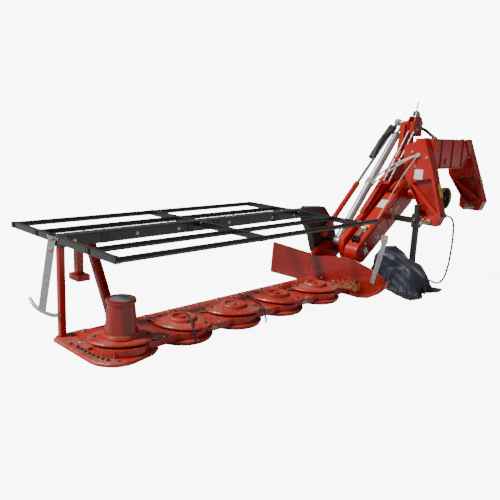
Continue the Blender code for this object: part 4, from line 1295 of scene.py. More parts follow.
class MOWER_OT_outer_supports(bpy.types.Operator):
    """The brace channel, the galvanised hanger with its curved foot and their bolts."""

    bl_idname = "mower.outer_supports"
    bl_label = "Outer supports"

    hanger_x = -0.2085

    def execute(self, context):
        self.brace()
        self.hanger()
        return {"FINISHED"}

    def brace(self):
        """A channel: a web with a flange along each side, standing from the bar up to the beam."""
        low, high = low_of("outer_brace"), high_of("outer_brace")
        foot = Vector((0.100, 0.260, low.z))
        knee = Vector((0.100, 0.2763, 0.150))
        head = Vector((0.0175, 0.360, high.z))
        shape = begin()
        for start, end in ((foot, knee), (knee, head)):
            along = (end - start).normalized()
            across = Vector((1, 0, 0)) - along * along.x
            across.normalize()
            back = along.cross(across).normalized()
            back = back if back.y > 0 else -back
            add_bar(shape, start + back * 0.016, end + back * 0.016, 0.050, 0.006, 0.001, across)
            for side in (-1, 1):
                edge = across * side * 0.0245
                add_bar(shape, start + edge, end + edge, 0.006, 0.036, 0.001, across)
        add_box(shape, (0.062, 0.236, low.z + 0.0002), (0.138, 0.285, low.z + 0.008), 0.002)
        piece("outer_brace_channel", shape, "red", "fold", ["outer_brace"])
        shape = begin()
        for x in (0.072, 0.128):
            add_bolt(shape, (x, 0.246, low.z + 0.008), (0, 0, 1), 0.014)
        piece("outer_brace_bolts", shape, "bright bolt", "fold")

    def hanger(self):
        x = self.hanger_x
        shape = begin()
        add_bar(shape, (x, 0.385, 0.636), (x, 0.545, 0.140), 0.046, 0.008, 0.0015, (0.70, -0.68, -0.22))
        foot = (
            (0.710, 0.185), (0.660, 0.160), (0.600, 0.147), (0.545, 0.143), (0.480, 0.146), (0.400, 0.156),
            (0.325, 0.178),
        )
        add_wire(shape, [(x, y, z) for y, z in foot], 0.0115, 16, 5)
        piece("hanger_bar_and_foot", shape, "zinc", "fold", ["hanger_bar"], 40)
        shape = begin()
        for y, z in ((0.391, 0.618), (0.412, 0.552)):
            add_bolt(shape, (x, y - 0.005, z), (0, -1, -0.3), 0.017)
        piece("hanger_bolts", shape, "bright bolt", "fold")


# ---- divider --------------------
class MOWER_OT_divider(bpy.types.Operator):
    """The creased divider sheet with its folded lip, bolts, clip and the dry grass caught at its foot."""

    bl_idname = "mower.divider"
    bl_label = "Divider"

    flare = 0.42
    crease = 0.295
    stalks = 70

    def execute(self, context):
        # The sheet takes the darker red from the frame's finishes: painted shade.
        soften("divider", 0.0012, 1)
        front_x = high_of("divider").x - 0.006
        self.lip(front_x)
        self.fixings(front_x)
        self.grass(front_x)
        return {"FINISHED"}

    def lip(self, x):
        """The rolled lower edge and the ridge where the sheet turns outwards."""
        shape = begin()
        lower = [
            (-0.440, 0.166), (-0.400, 0.098), (-0.326, 0.046), (-0.238, 0.019), (-0.10, 0.0185),
            (0.10, 0.0185),
        ]
        add_wire(shape, [(x + 0.001, y, z) for y, z in lower], 0.0045, 8, 4)
        upper = [
            (-0.440, 0.204), (-0.350, 0.246), (-0.250, 0.274), (-0.160, 0.296), (-0.060, 0.300),
            (0.10, 0.276),
        ]
        upper += [(0.235, 0.258), (self.crease, 0.2695)]
        add_wire(shape, [(x + 0.001, y, z) for y, z in upper], 0.0038, 8, 4)
        rear = [(self.crease, 0.2695, 0), (0.45, 0.2995, 0.155), (0.598, 0.328, 0.303)]
        add_wire(shape, [(x - self.flare * out, y, z) for y, z, out in rear], 0.0038, 8, 3)
        add_wire(
            shape, [(x, self.crease, 0.020), (x - 0.0005, self.crease, 0.140), (x, self.crease, 0.268)],
            0.0030, 8, 2,
        )
        piece("divider_lips", shape, "red", "fold", angle=60)

    def fixings(self, x):
        shape = begin()
        face = x - 0.0005
        for y, z in ((0.030, 0.085), (0.150, 0.085)):
            add_bolt(shape, (face, y, z), (-1, 0, 0), 0.015)
        piece("divider_bolts", shape, "bright bolt", "fold")
        shape = begin()
        add_box(shape, (x - 0.0120, -0.442, 0.478), (x - 0.0015, -0.384, 0.540), 0.002)
        add_bolt(shape, (x - 0.0115, -0.412, 0.510), (-1, 0, 0), 0.014)
        piece("shoe_bar_clip", shape, "bright bolt", "fold")

    def grass(self, x):
        """Dry stalks caught where the divider meets the bar."""
        draw = random.Random(7)
        shape = begin()
        for _ in range(self.stalks):
            y = draw.uniform(-0.24, -0.06)
            start = Vector((x - draw.uniform(0.006, 0.080), y, 0.073))
            lean = Vector((draw.uniform(-1.0, 0.25), draw.uniform(-0.8, 0.8), draw.uniform(0.15, 1.3)))
            lean.normalize()
            reach = draw.uniform(0.03, 0.10)
            bend = start + lean * reach * 0.5 + Vector((0, 0, draw.uniform(0, 0.012)))
            end = start + lean * reach
            end.x = min(end.x, x - 0.003)
            bend.x = min(bend.x, x - 0.003)
            add_wire(shape, [start, bend, end], draw.uniform(0.0007, 0.0013), 5, 3)
        piece("caught_grass", shape, "straw", "fold", angle=60)


# ---- labels --------------------
def add_label(shape, centre, side, up, width, height):
    """A thin blank label lying on a face: its side and up directions give the face."""
    side, up = Vector(side).normalized(), Vector(up).normalized()
    out = side.cross(up)
    turned = Matrix((side, up, out)).transposed().to_4x4()
    sized = Matrix.Diagonal((width, height, sizes().label * 2, 1.0))
    bmesh.ops.create_cube(shape, size=1.0, matrix=Matrix.Translation(at(*centre)) @ turned @ sized)


# ---- carrier --------------------
FOLD = Vector((2.380, 0, 0.280))
PULLEY = Vector((3.050, 0, 0.760))
MAST = Vector((3.250, 0, 1.390))
SPRING_FOOT = Vector((2.330, 0.230, 0.355))
SPRING_HEAD = Vector((3.140, 0.230, 1.284))


class MOWER_OT_carrier(bpy.types.Operator):
    """The belt guard, arm, mast and spring with their covers, bolts, labels and lever."""

    bl_idname = "mower.carrier"
    bl_label = "Carrier"

    def execute(self, context):
        self.along = (PULLEY - FOLD).normalized()
        self.out = Vector((-self.along.z, 0, self.along.x))
        self.belt_guard()
        self.arm()
        self.mast()
        self.spring()
        self.strut()
        return {"FINISHED"}

    def beside(self, along, out, y):
        """A point by the belt guard: so far from the lower pulley to the upper, and out above that line."""
        return FOLD + self.along * along + self.out * out + Vector((0, y, 0))

    def belt_guard(self):
        soften("belt_guard", 0.014, 3)
        run = (PULLEY - FOLD).length
        shape = begin()
        for start, end in ((0.02, 0.40), (0.43, run - 0.02)):
            low, high = self.beside(start, 0, -0.0035), self.beside(end, 0, -0.0035)
            add_bar(shape, low, high, 0.004, 0.130, 0.0015, (0, 1, 0))
        add_turned(
            shape, (
                (0, -0.001), (0.070, -0.001), (0.074, 0.002), (0.070, 0.0045), (0.030, 0.006), (0, 0.006)
            ),
            (FOLD.x, 0.0, FOLD.z), (0, -1, 0), 40,
        )
        add_turned(
            shape, (
                (0, -0.001), (0.096, -0.001), (0.100, 0.002), (0.096, 0.0045), (0.040, 0.006), (0, 0.006)
            ),
            (PULLEY.x, 0.0, PULLEY.z), (0, -1, 0), 40,
        )
        for side in (-1, 1):
            slope = 0.030 / run * side
            edge = 0.089 * side
            low = self.beside(0.0, edge, 0.065)
            high = self.beside(run, edge + slope * run, 0.065)
            add_bar(shape, low, high, 0.100, 0.0035, 0.001, (0, 1, 0))
        piece("belt_guard_covers", shape, "red", "carrier")
        shape = begin()
        for along, out in (
            (0.07, 0.052), (0.07, -0.052), (0.30, 0.055), (0.30, -0.055), (0.52, 0.062), (0.52, -0.062)
        ):
            add_bolt(shape, self.beside(along, out, -0.0045), (0, -1, 0), 0.014)
        for angle in range(0, 360, 60):
            turn = math.radians(angle)
            spot = Vector((FOLD.x + 0.050 * math.cos(turn), -0.0045, FOLD.z + 0.050 * math.sin(turn)))
            add_bolt(shape, spot, (0, -1, 0), 0.010, False)
        add_turned(
            shape, ((0, 0), (0.024, 0), (0.025, 0.003), (0.016, 0.006), (0.015, 0.012), (0, 0.013)),
            self.beside(0.235, -0.018, -0.004), (0, -1, 0), 24,
        )
        piece("belt_guard_bolts", shape, "bright bolt", "carrier")
        self.belt_labels()

    def belt_labels(self):
        top = 0.0935
        shape = begin()
        y = Vector((0, 1, 0))
        add_label(shape, self.beside(0.52, top + 0.021, 0.062), -self.along, -y, 0.105, 0.075)
        add_label(shape, self.beside(0.045, -0.012, -0.0072), self.along, self.out, 0.050, 0.062)
        piece("belt_guard_white_labels", shape, "white label", "carrier")
        shape = begin()
        add_label(shape, self.beside(0.60, 0.005, -0.0070), self.along, self.out, 0.100, 0.040)
        add_label(shape, self.beside(0.20, top + 0.008, 0.060), -self.along, -y, 0.090, 0.050)
        piece("belt_guard_yellow_labels", shape, "yellow label", "carrier")

    def arm(self):
        """Stiffening plates, welds and bolts on the arm behind the belt guard."""
        shape = begin()
        rear = high_of("carrier_arm").y
        add_turned(
            shape, (
                (0, -0.001), (0.062, -0.001), (0.064, 0.003), (0.060, 0.008), (0.036, 0.010), (0, 0.010)
            ),
            (PULLEY.x, rear, PULLEY.z), (0, 1, 0), 36,
        )
        add_turned(
            shape, ((0, -0.001), (0.050, -0.001), (0.052, 0.003), (0.048, 0.007), (0, 0.008)),
            (MAST.x - 0.03, rear - 0.0006, MAST.z - 0.18), (0, 1, 0), 32,
        )
        add_bar(shape, (2.560, 0.162, 0.600), (3.040, 0.162, 1.055), 0.046, 0.010, 0.002, (0, 1, 0))
        add_bar(shape, (3.070, 0.162, 1.000), (3.125, 0.162, 1.390), 0.046, 0.010, 0.002, (0, 1, 0))
        piece("arm_plates", shape, "red", "carrier")
        shape = begin()
        for x, z in ((2.50, 0.47), (2.70, 0.60), (2.90, 0.77), (3.16, 0.92), (3.20, 1.10), (3.22, 1.26)):
            add_bolt(shape, (x, rear, z), (0, 1, 0), 0.019)
            add_bolt(shape, (x, 0.1352, z), (0, -1, 0), 0.019)
        piece("arm_bolts", shape, "bright bolt", "carrier")

    def mast(self):
        low, high = low_of("mast_head"), high_of("mast_head")
        shape = begin()
        for y0, y1 in ((low.y, low.y + 0.014), (high.y - 0.016, high.y)):
            outline = (
                (low.x, low.z), (high.x, low.z), (high.x, high.z - 0.045), (high.x - 0.030, high.z - 0.006),
                (high.x - 0.055, high.z), (low.x + 0.030, high.z), (low.x, high.z - 0.040),
            )
            add_plate(shape, outline, "XZ", y0, y1, 0.003)
        add_box(
            shape, (low.x + 0.012, low.y + 0.008, low.z + 0.010),
            (low.x + 0.030, high.y - 0.008, high.z - 0.050), 0.003,
        )
        add_box(
            shape, (high.x - 0.045, low.y + 0.008, low.z + 0.004),
            (high.x - 0.020, high.y - 0.008, low.z + 0.100), 0.003,
        )
        add_rod(shape, (MAST.x, low.y + 0.004, MAST.z), (MAST.x, high.y, MAST.z), 0.030, None, 28, 0.002)
        add_rod(
            shape, (MAST.x - 0.065, low.y + 0.004, 1.330), (MAST.x - 0.065, high.y, 1.330), 0.020, None, 24,
            0.002,
        )
        piece("mast_cheeks", shape, "red", "carrier", ["mast_head"])
        shape = begin()
        add_bolt(shape, (MAST.x, low.y, MAST.z), (0, -1, 0), 0.030)
        add_bolt(shape, (MAST.x - 0.065, low.y, 1.330), (0, -1, 0), 0.022)
        add_bolt(shape, (high.x - 0.030, low.y, 1.300), (0, -1, 0), 0.017)
        for z in (1.300, 1.345):
            add_bolt(shape, (high.x, 0.098, z), (1, 0, 0), 0.020)
        piece("mast_bolts", shape, "bright bolt", "carrier")
        self.mast_pin()
        self.lever()

    def mast_pin(self):
        low, high = low_of("mast_pin"), high_of("mast_pin")
        shape = begin()
        add_rod(shape, (MAST.x, low.y, MAST.z), (MAST.x, high.y, MAST.z), 0.018, None, 28, 0.002)
        add_ring(shape, (MAST.x, low.y + 0.006, MAST.z), (0, 1, 0), 0.020, 0.004)
        piece("mast_pin_turned", shape, "bright bolt", "carrier", ["mast_pin"])

    def lever(self):
        low, high = low_of("latch_lever"), high_of("latch_lever")
        shape = begin()
        route = (
            (3.215, 0.095, low.z), (3.215, 0.095, 1.490), (3.219, 0.095, 1.520),
            (3.235, 0.095, high.z - 0.001),
        )
        add_wire(shape, route, 0.0065, 14, 6)
        add_rod(shape, (3.215, 0.095, low.z), (3.215, 0.095, low.z + 0.020), 0.013, 0.009, 20, 0.001)
        piece("latch_lever_rod", shape, "zinc", "carrier", ["latch_lever"])
        shape = begin()
        outline = ((3.172, 1.452), (3.268, 1.452), (3.245, 1.492), (3.205, 1.500), (3.184, 1.486))
        add_plate(shape, outline, "XZ", 0.108, 0.113, 0.001)
        add_plate(shape, outline, "XZ", 0.077, 0.082, 0.001)
        add_bolt(shape, (3.225, 0.077, 1.474), (0, -1, 0), 0.014)
        add_box(shape, (3.172, 0.077, 1.4510), (3.268, 0.113, 1.4550), 0.001)
        piece("latch_bracket", shape, "zinc", "carrier")

    def spring(self):
        """The spring's tube with its collars and eye, and two threaded rods beside it up to the mast."""
        foot, head = SPRING_FOOT, SPRING_HEAD
        run = (head - foot).normalized()
        shape = begin()
        add_rod(shape, foot, head, 0.0335, None, 40, 0.003)
        for place, width in ((0.055, 0.030), (0.62, 0.014), ((head - foot).length - 0.030, 0.028)):
            add_rod(shape, foot + run * place, foot + run * (place + width), 0.0340, None, 40, 0.0015)
        add_rod(shape, (foot.x, 0.1905, foot.z), (foot.x, 0.2515, foot.z), 0.0418, None, 36, 0.003)
        piece("spring_tube_turned", shape, "zinc", "carrier", ["spring_tube"])
        start, end = head + run * 0.0004, Vector((MAST.x - 0.030, 0.230, MAST.z - 0.010))
        shape = begin()
        add_rod(shape, start, end, 0.0108, None, 20, 0.001)
        add_rod(shape, start, start + run * 0.018, 0.019, None, 6, 0.001)
        piece("spring_rod_turned", shape, "chrome", "carrier", ["spring_rod"])
        shape = begin()
        add_ring(shape, foot + Vector((0, 0.026, 0)), (0, 1, 0), 0.026, 0.006, 28, 8)
        add_rod(shape, head - run * 0.026, head + run * 0.0008, 0.0347, 0.0330, 36, 0.001)
        piece("spring_seals", shape, "black rubber", "carrier")
        shape = begin()
        for y in (0.118, 0.064):
            self.threaded(shape, Vector((2.800, y, 0.860)), Vector((3.165, y, 1.330)))
        piece("latch_rods", shape, "zinc", "carrier", angle=50)
        shape = begin()
        for x, z in ((2.800, 0.860), (2.960, 1.066)):
            add_box(shape, (x - 0.012, 0.050, z - 0.014), (x + 0.012, 0.138, z + 0.014), 0.003)
        piece("latch_rod_guides", shape, "red", "carrier")

    def threaded(self, shape, start, end, radius=0.0088, pitch=0.0075):
        """A rod with rings cut round it."""
        run = end - start
        profile = [(0, 0)]
        for ring in range(int(run.length / pitch)):
            start_of = ring * pitch
            profile += [
                (radius * 0.86, start_of + 0.0008), (radius, start_of + 0.003), (radius, start_of + 0.0052)
            ]
        profile += [(radius * 0.86, run.length), (0, run.length)]
        add_turned(shape, profile, start, run, 12)

    def strut(self):
        """The short galvanised link over the arm's foot, with a black clevis at its lower end."""
        low, high = Vector((2.352, 0.060, 0.398)), Vector((2.478, 0.060, 0.478))
        run = (high - low).normalized()
        shape = begin()
        add_rod(shape, low + run * 0.020, high, 0.0165, None, 28, 0.002)
        add_rod(shape, low + run * 0.020, low + run * 0.034, 0.0200, None, 28, 0.001)
        add_rod(shape, (high.x, 0.036, high.z), (high.x, 0.084, high.z), 0.022, None, 28, 0.002)
        piece("foot_link", shape, "zinc", "carrier")
        shape = begin()
        for y in (0.036, 0.074):
            aside = Vector((0, y - 0.055, 0))
            start, end = low - run * 0.024 + aside, low + run * 0.024 + aside
            add_bar(shape, start, end, 0.010, 0.042, 0.002, (0, 1, 0))
        add_bar(shape, low + run * 0.012, low + run * 0.028, 0.048, 0.042, 0.003, (0, 1, 0))
        x, z = low.x - 0.006, low.z - 0.004
        add_rod(shape, (x, 0.024, z), (x, 0.096, z), 0.011, None, 20, 0.001)
        piece("foot_link_clevis", shape, "black", "carrier")


# ---- lift cylinder --------------------
class MOWER_OT_lift(bpy.types.Operator):
    """The lift cylinder: barrel with gland and ports, chromed rod, and the sleeving by its head."""

    bl_idname = "mower.lift"
    bl_label = "Lift cylinder"

    foot = Vector((2.220, 0.296, 0.430))
    head = Vector((3.250, 0.296, 1.390))

    def execute(self, context):
        run = (self.head - self.foot).normalized()
        self.barrel(run)
        self.rod(run)
        return {"FINISHED"}

    def barrel(self, run):
        foot = self.foot
        mouth = foot + run * 0.600
        shape = begin()
        add_turned(
            shape,
            (
                (0.0155, 0.600), (0.0235, 0.600), (0.0258, 0.597), (0.0258, 0.562), (0.0240, 0.560), (
                    0.0240, 0.040
                ),
                (0.0255, 0.034), (0.0255, 0.026), (0, 0.026), (0, 0.030), (0.0155, 0.205),
            ),
            foot, run, 36, closed=True,
        )
        add_rod(
            shape, foot - Vector((0, 0.0198, 0)), foot + Vector((0, 0.0198, 0)), 0.0336, None, 32, 0.002
        )
        piece("lift_barrel_turned", shape, "red", "lift_barrel", ["lift_barrel"])
        shape = begin()
        up = Vector((-run.z, 0, run.x))
        for along in (0.070, 0.540):
            port = foot + run * along + up * 0.022
            add_rod(shape, port, port + up * 0.014, 0.009, 0.009, 6, 0.001)
        add_rod(shape, mouth + run * 0.0003, mouth + run * 0.003, 0.0225, None, 32)
        add_bolt(shape, foot + Vector((0, 0.0198, 0)), (0, 1, 0), 0.020)
        piece("lift_barrel_ports", shape, "bright bolt", "lift_barrel")

    def rod(self, run):
        foot, head = self.foot, self.head
        start, end = foot + run * 0.530, head - run * 0.030
        shape = begin()
        add_rod(shape, start, end, 0.0138, None, 28, 0.001)
        add_rod(
            shape, head - Vector((0, 0.0198, 0)), head + Vector((0, 0.0198, 0)), 0.0336, None, 32, 0.002
        )
        piece("lift_rod_turned", shape, "chrome", "lift_rod", ["lift_rod"])
        shape = begin()
        length = (head - foot).length
        across = Vector((-run.z, 0, run.x))
        sleeves = (
            (0.034, 0.010, 0.0270, 0.006), (0.014, 0.040, 0.0230, -0.005), (-0.014, 0.024, 0.0190, 0.004)
        )
        for lean, y, radius, wave in sleeves:
            line = []
            for step in range(7):
                share = step / 6
                swell = lean * math.sin(math.pi * min(1, share * 1.15)) + wave * math.sin(5 * share)
                line.append(
                    foot + run * (length - 0.480 + 0.420 * share) + across * swell + Vector((0, y, 0))
                )
            add_wire(shape, line, radius, 14, 5)
        piece("sleeve_bundle", shape, "black rubber", "lift_rod", angle=50)
        shape = begin()
        for along, radius in ((0.400, 0.026), (0.105, 0.030)):
            place = foot + run * (length - along) + across * 0.006 + Vector((0, 0.016, 0))
            add_ring(shape, place, run, radius, 0.0030, 30, 6)
        piece("sleeve_ties", shape, "dark plastic", "lift_rod")


# ---- headstock --------------------
HITCH_PIN_Y = -0.336
FAR_LEG_LIFT = 0.077


def shrink(outline, amount):
    """An outline moved inwards towards its middle by about an amount."""
    centre = sum((Vector(point) for point in outline), Vector((0, 0))) / len(outline)
    return [Vector(point) + (centre - Vector(point)).normalized() * amount for point in outline]


def inset_line(line, amount):
    """A line of points moved a little, so that a flange doesn't lie in its plate's edge."""
    return [(a, b - amount) for a, b in line]


class MOWER_OT_headstock(bpy.types.Operator):
    """The two hitch legs, their cross beam, pins, labels and the drive shaft's guard."""

    bl_idname = "mower.headstock"
    bl_label = "Headstock"

    def execute(self, context):
        self.leg("near", low_of("hitch_leg_near").x, 0.0)
        self.leg("far", low_of("hitch_leg_far").x, FAR_LEG_LIFT)
        self.beam()
        self.pins()
        self.labels()
        self.shaft_guard()
        return {"FINISHED"}

    def leg(self, name, x, lift):
        """A leg of folded sheet: a side plate, front and rear flanges and a sunk web with a diagonal rib."""
        inner = x + 0.100
        front = ((-0.214, 1.258), (-0.318, 0.998), (-0.436, 0.620 + lift), (-0.400, 0.530 + lift))
        rear = (
            (-0.214, 1.258), (-0.038, 1.188), (-0.038, 1.120), (-0.070, 0.930), (-0.213, 0.700 + lift / 2),
            (-0.213, 0.560 + lift), (-0.260, 0.530 + lift),
        )
        whole = [*rear, *reversed(front[1:])]
        shape = begin()
        add_plate(shape, whole, "YZ", inner - 0.008, inner, 0.0015, 1)
        web = shrink(whole, 0.010)
        sunk = begin()
        add_plate(sunk, web, "YZ", x + 0.028, x + 0.036, 0.001, 1)
        # The sunk web is painted in the darker red: painted shade in the recess.
        piece(f"hitch_leg_{name}_web", sunk, "cone red", "headstock")
        add_ribbon(shape, inset_line(front, 0.0005), "YZ", x + 0.002, inner - 0.002, 0.009)
        add_ribbon(shape, inset_line(rear, 0.0005), "YZ", x + 0.002, inner - 0.002, -0.009)
        upper = (*rear[:4], (-0.115, 0.862), (-0.212, 0.905), (-0.338, 0.935), (-0.318, 0.998))
        add_plate(shape, upper, "YZ", x, x + 0.009, 0.002, 1)
        rib = (
            (-0.085, 0.925), (-0.385, 0.655 + lift), (-0.420, 0.628 + lift), (-0.398, 0.600 + lift),
            (-0.110, 0.868),
        )
        add_plate(shape, rib, "YZ", x + 0.001, x + 0.030, 0.002, 1)
        rim = ((-0.316, 0.990), (-0.434, 0.624 + lift), (-0.408, 0.632 + lift), (-0.300, 0.960))
        add_plate(shape, rim, "YZ", x + 0.0005, x + 0.010, 0.001, 1)
        shoe = (
            (-0.213, 0.655 + lift), (-0.213, 0.560 + lift), (-0.260, 0.530 + lift), (-0.400, 0.530 + lift),
            (-0.434, 0.618 + lift), (-0.400, 0.636 + lift), (-0.300, 0.600 + lift),
        )
        add_plate(shape, shoe, "YZ", x + 0.0003, x + 0.012, 0.002, 1)
        for place in (x - 0.0002, inner - 0.0035):
            add_turned(
                shape, ((0, 0), (0.031, 0), (0.032, 0.001), (0.0305, 0.0035), (0, 0.0037)),
                (place, HITCH_PIN_Y, 0.563 + lift), (1, 0, 0), 32,
            )
        piece(f"hitch_leg_{name}_folded", shape, "red", "headstock", [f"hitch_leg_{name}"], 30)
        shape = begin()
        for y, z in ((-0.110, 1.140), (-0.150, 1.020), (-0.250, 1.100)):
            add_bolt(shape, (x, y, z), (-1, 0, 0), 0.017)
        piece(f"hitch_leg_{name}_bolts", shape, "bright bolt", "headstock")

    def beam(self):
        low, high = low_of("hitch_beam"), high_of("hitch_beam")
        shape = begin()
        add_box(shape, (low.x, low.y - 0.014, high.z - 0.007), (high.x, high.y + 0.006, high.z), 0.002)
        add_box(shape, (low.x, low.y - 0.010, low.z), (high.x, low.y + 0.010, low.z + 0.010), 0.002)
        for x in (low.x + 0.150, low.x + 0.360, low.x + 0.560):
            add_box(
                shape, (x - 0.004, low.y - 0.009, low.z + 0.006),
                (x + 0.004, low.y + 0.004, high.z - 0.004), 0.001,
            )
        for x, step in ((low.x, 1), (high.x, -1)):
            outline = ((x, high.z - 0.008), (x + step * 0.120, high.z - 0.008), (x, high.z - 0.150))
            add_plate(shape, outline, "XZ", low.y - 0.012, low.y - 0.003, 0.001, 1)
        centre = (low.x + 0.255, low.y - 0.001, low.z + 0.060)
        add_turned(
            shape, ((0.017, 0), (0.030, 0), (0.030, 0.005), (0.017, 0.006)), centre, (0, -1, 0), 32,
            closed=True,
        )
        piece("hitch_beam_ribs", shape, "red", "headstock")
        shape = begin()
        add_bolt(shape, centre, (0, -1, 0), 0.020)
        for x in (low.x + 0.050, low.x + 0.085, high.x - 0.060, high.x - 0.100):
            add_bolt(shape, (x, low.y + 0.05, high.z), (0, 0, 1), 0.015)
        piece("hitch_beam_bolts", shape, "bright bolt", "headstock")

    def pins(self):
        for name, side in (("hitch_pin_near", -1), ("hitch_pin_far_inner", -1), ("hitch_pin_far_outer", 1)):
            low, high = low_of(name), high_of(name)
            root, tip = (high.x, low.x) if side < 0 else (low.x, high.x)
            y, z = HITCH_PIN_Y, (low.z + high.z) / 2
            shape = begin()
            add_rod(shape, (root, y, z), (tip, y, z), 0.0148, None, 28, 0.003)
            add_rod(
                shape, (root + side * 0.002, y, z), (root + side * 0.020, y, z), 0.024, 0.022, 28, 0.002
            )
            clip = tip - side * 0.030
            add_rod(shape, (clip, y, z - 0.024), (clip, y, z + 0.026), 0.0048, None, 12, 0.001)
            add_ring(shape, (clip, y, z + 0.014), (1, 0, 0), 0.0215, 0.0020, 24, 8)
            piece(f"{name}_turned", shape, "bright bolt", "headstock", [name])

    def labels(self):
        shape = begin()
        x = low_of("hitch_leg_near").x
        add_label(shape, (x - 0.0004, -0.190, 0.955), (0, -1, 0), (0, 0, 1), 0.082, 0.085)
        piece("leg_white_label", shape, "white label", "headstock")
        shape = begin()
        for leg, lift, low_end, high_end in (("near", 0.0, 0.40, 0.70), ("far", FAR_LEG_LIFT, 0.42, 0.68)):
            left = low_of(f"hitch_leg_{leg}").x
            top, foot = Vector((0, -0.318, 0.998)), Vector((0, -0.436, 0.620 + lift))
            up = (top - foot).normalized()
            centre = foot + (top - foot) * (low_end + high_end) / 2 + Vector((left + 0.058, 0, 0))
            centre += Vector((0, -up.z, up.y)) * 0.0095
            add_label(shape, centre, (1, 0, 0), up, 0.052, (top - foot).length * (high_end - low_end))
        piece("leg_yellow_labels", shape, "yellow label", "headstock")

    def shaft_guard(self):
        """The drive shaft's cup with its dark mouth and the splined stub inside it."""
        low, high = low_of("shaft_cup"), high_of("shaft_cup")
        shape = begin()
        cup = (
            (0.0895, 0), (0.0938, 0), (0.0940, 0.004), (0.0915, 0.008), (0.0800, 0.074), (0.0742, 0.0895),
            (0.0700, 0.0895), (0.0760, 0.070), (0.0875, 0.010),
        )
        add_turned(shape, cup, (PULLEY.x, low.y, PULLEY.z), (0, 1, 0), 56, closed=True)
        for radius, depth in ((0.0890, 0.022), (0.0862, 0.036)):
            add_ring(shape, (PULLEY.x, low.y + depth, PULLEY.z), (0, 1, 0), radius + 0.0012, 0.0018, 56, 6)
        piece("shaft_cup_moulded", shape, "yellow plastic", "headstock", ["shaft_cup"])
        shape = begin()
        lining = (
            (0, 0.078), (0.040, 0.078), (0.046, 0.070), (0.0745, 0.064), (0.0860, 0.012), (0.0868, 0.012),
            (0.0760, 0.068), (0.060, 0.080), (0, 0.0810),
        )
        add_turned(shape, lining, (PULLEY.x, low.y, PULLEY.z), (0, 1, 0), 48)
        piece("shaft_cup_lining", shape, "dark plastic", "headstock")
        low, high = low_of("shaft_stub"), high_of("shaft_stub")
        shape = begin()
        add_rod(shape, (PULLEY.x, low.y, PULLEY.z), (PULLEY.x, high.y, PULLEY.z), 0.0150, None, 24, 0.002)
        for tooth in range(6):
            angle = tooth * math.pi / 3
            across, up = math.cos(angle), math.sin(angle)
            spot = Vector((PULLEY.x + 0.0148 * across, low.y + 0.003, PULLEY.z + 0.0148 * up))
            add_bar(shape, spot, spot + Vector((0, 0.060, 0)), 0.006, 0.0055, 0.0008, (across, 0, up))
        piece("shaft_stub_splined", shape, "rusty steel", "headstock", ["shaft_stub"])


# ---- stand --------------------
class MOWER_OT_stand(bpy.types.Operator):
    """The parking stand's clamp, cross bar and pin, and dark discs on its post that paint in the shade of
    its holes.
    """

    bl_idname = "mower.stand"
    bl_label = "Parking stand"

    axis = (2.8167, -0.236)

    def execute(self, context):
        x, y = self.axis
        shape = begin()
        add_box(shape, (x - 0.0325, y - 0.0325, 0.503), (x - 0.0225, y + 0.0325, 0.617), 0.002)
        add_box(shape, (x + 0.0225, y - 0.0325, 0.503), (x + 0.0325, y + 0.0325, 0.617), 0.002)
        add_box(shape, (x - 0.0330, y - 0.0330, 0.500), (x + 0.0330, y - 0.0228, 0.620), 0.003)
        add_box(shape, (x - 0.0330, y + 0.0228, 0.500), (x + 0.0330, y + 0.0330, 0.620), 0.003)
        add_box(shape, (x - 0.024, y + 0.029, 0.535), (x + 0.024, -0.030, 0.585), 0.003)
        piece("stand_clamp", shape, "dusty black", "headstock", ["stand_sleeve"])
        shape = begin()
        add_rod(shape, (x - 0.050, y, 0.566), (x + 0.033, y, 0.566), 0.0065, None, 16, 0.001)
        add_ring(shape, (x - 0.050, y, 0.580), (0, 1, 0), 0.015, 0.0022, 24, 8)
        add_bolt(shape, (x, y - 0.033, 0.600), (0, -1, 0), 0.016)
        piece("stand_pin", shape, "bright bolt", "headstock")
        # Thin dark discs where the post's holes are: painted shade, not openings.
        shape = begin()
        for step in range(5):
            z = 0.110 + step * 0.080
            for side in (-1, 1):
                add_rod(shape, (x + side * 0.0216, y, z), (x + side * 0.0222, y, z), 0.0085, None, 20)
        piece("stand_post_hole_shade_discs", shape, "dark plastic", "stand")
        return {"FINISHED"}


